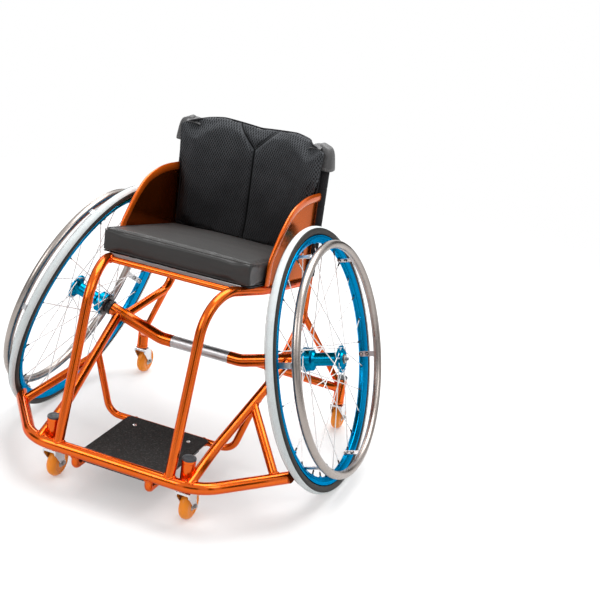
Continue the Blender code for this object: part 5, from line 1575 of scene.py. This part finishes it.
def makeBolster():
    look = {"z": 0.525, "radius": 0.030, "flat": 0.62, "voxel": 0.005, "cap": 0.006, "pressure": 5.0}
    xs = np.linspace(-0.194, 0.194, 61)

    def centreY(x, depth):
        y = slingFront + sagAt(x) + 0.003 + 0.002 + depth
        return np.where(abs(x) / postX > 0.86, np.maximum(y, postY + 0.011 + 0.0019 + depth), y)

    def girth(x):  # it tapers towards the posts
        return look["radius"] * (1 - 0.35 * (abs(x) / postX) ** 4)

    rings = []
    for x in xs:
        share = abs(x) / postX
        radius = girth(x) - 0.004
        radius *= math.sqrt(max(1 - max(share - 0.93, 0) / 0.11, 0.2))
        depth = radius * look["flat"]
        y = float(centreY(x, (radius + 0.004) * look["flat"]))
        rings.append([(x, y + depth * math.cos(a), look["z"] + radius * math.sin(a)) for a in circle(28)])
    shape = Shape()
    shape.loft(rings)

    def hold(points):
        x, y, z = points.T
        return np.stack([x, np.maximum(y, centreY(x, 0.0) - 0.0005), z], 1)

    mesh = puffed(shape.mesh("bolster"), look, hold)
    points = meshPoints(mesh)
    share = abs(points[:, 0]) / postX
    pucker = np.clip((share - 0.62) / 0.38, 0, 1) ** 1.5
    angle = np.arctan2(points[:, 2] - look["z"], points[:, 1] - centreY(points[:, 0], 0.018))
    points[:, 2] += np.sin(angle) * np.cos(angle * 11) * 0.0016 * pucker
    points[:, 1] += np.cos(angle) * np.cos(angle * 11) * 0.0012 * pucker
    back = np.clip(np.cos(angle), 0, 1)
    points[:, 1] += back * ripple(points, [((38, 0, 21), 0.0009, 0.2), ((-17, 0, 66), 0.0007, 1.5),
                                           ((83, 0, -12), 0.0005, 0.7)])
    setPoints(mesh, points)
    bolster = putPiece("backBolster", mesh, [bolsterCloth], ["back_bolster"])
    seam = Shape()  # welted seams above and below
    for up in (1, -1):
        line = []
        for x in np.linspace(-0.182, 0.182, 90):
            y = float(centreY(x, girth(x) * look["flat"])) + 0.004
            line.append((x, y, look["z"] + up * (girth(x) - 0.0016)))
        seam.tube(line, 0.0012, 8)
    putPiece("bolsterSeams", seam.mesh("bolsterSeams", 80), [bolsterCloth])


def makeHood(label, side):
    # folded leather cap over a post's top, open below, with a flap laid inwards over the pad's corner
    look = {"bottom": 0.7165, "top": 0.7775, "thick": 0.0026, "post": 0.0125, "seam": 0.0235}
    profile = [(0.0, 0.0234, 0.0232), (0.06, 0.0238, 0.0236), (0.35, 0.0224, 0.0226), (0.65, 0.0206, 0.0213),
               (0.85, 0.0178, 0.0190), (0.96, 0.0136, 0.0150), (1.0, 0.0080, 0.0090)]
    levels = throughPoints([(share, wide, deep) for share, wide, deep in profile], 3)

    def ring(share, wide, deep):
        z = look["bottom"] + share * (look["top"] - look["bottom"])
        made = []
        for a in circle(48):
            square = (abs(math.cos(a)) ** 2.7 + abs(math.sin(a)) ** 2.7) ** (-1 / 2.7)
            x = side * postX + wide * square * math.cos(a) - side * 0.003 * share ** 2
            y = postY + deep * square * math.sin(a) + 0.0015 * math.sin(3 * a + share * 2) * (1 - share)
            made.append((x, y, z - 0.004 * side * math.cos(a) * share))
        return made

    def within(size, share):  # clear of the post below the crown
        return max(size - look["thick"], look["post"]) if share < 0.9 else size - look["thick"]

    outer = [ring(*level) for level in levels]
    inner = [ring(share, within(wide, share), within(deep, share)) for share, wide, deep in levels]
    inner = [[(x, y, min(z, look["top"] - 0.0040)) for x, y, z in row] for row in inner]
    shape = Shape()
    shape.loft([*outer[::-1], *inner], ends=False)
    for crown in (outer[-1], inner[-1]):
        shape.add(crown, [list(range(len(crown)))])
    hood = putPiece(f"{label}PostHood", shape.mesh("postHood", 60), [capLeather],
                    [f"{label}_post_cap"])
    flap = Shape()  # the flap, folded over the front and turned under
    columns = 10
    rings = []
    for share in np.linspace(0, 1, 16):
        turn = share * 2.0
        x = side * (postX - 0.008 - 0.034 * math.sin(min(turn, 1.55)))
        y0 = postY - 0.0310 + 0.0110 * share
        z = look["top"] - 0.0022 - 0.009 * (1 - math.cos(turn)) - 0.002 * share
        row = []
        for column, out in thereAndBack(columns):
            v = column / columns
            y = y0 + 0.043 * v + 0.002 * math.sin(v * 5 + share * 2)
            row.append((x, y, z - 0.0075 * (1 - v) ** 2 * (1 - share * 0.8) + (0.0019 if out else 0)))
        rings.append(row)
    flap.loft(rings)
    piece = putPiece(f"{label}HoodFlap", flap.mesh("hoodFlap", 60), [capLeather])
    stitches = Shape()
    for share in (0.075, 0.12):
        path = evenly(np.array(ring(share, look["seam"] + 0.0002, look["seam"] + 0.0002)), 0.0011)
        for start in range(0, len(path) - 2, 4):
            stitches.tube(path[start:start + 3], 0.00038, 5)
    putPiece(f"{label}HoodStitches", stitches.mesh("hoodStitches", 80), [greyWebbing])


def makeSeatSling():
    # webbing laid across the seat rails under the cushion, its front bound in grey
    look = {"front": -0.201, "back": 0.167, "lift": seatRail["lift"] + 0.0012, "thick": 0.0022, "number": 7,
            "gap": 0.003, "wrap": 0.0129}
    pitch = (look["back"] - look["front"]) / look["number"]
    for strap in range(look["number"]):
        y = look["front"] + pitch * (strap + 0.5)
        rail = railHeight(y)
        dip = 0.0005 if strap == 0 else 0.0035
        middle = [(x, y, rail + look["lift"] - dip * (1 - (x / seatRail["x"]) ** 2))
                  for x in np.linspace(-0.180, 0.180, 41)]
        end = [(seatRail["x"] + look["wrap"] * math.cos(a), y, rail + look["wrap"] * math.sin(a))
               for a in np.radians(np.linspace(104, 92, 4))]
        path = mirrored(end[::-1], -1) + middle + end
        width = pitch - look["gap"]
        shape, length = strapShape(path, width, look["thick"], (0, 1, -seatRail["slope"]))
        name = f"seatStrap{strap + 1}"
        piece = putPiece(name, shape.mesh(name, 60), [webbing], ["seat_sling"])
    y = look["front"] - 0.0012
    path = [(x, y, railHeight(y) + 0.0052) for x in np.linspace(-0.168, 0.168, 41)]
    shape, length = strapShape(path, 0.0135, 0.0016)
    band = putPiece("seatFrontBand", shape.mesh("seatFrontBand", 60), [greyWebbing])


makeCushion()
makeBackPad()
makeBackStraps()
makeBackFlap()
makeBolster()
for label, side in sides.items():
    makeHood(label, side)
makeSeatSling()
print("soft goods ready")
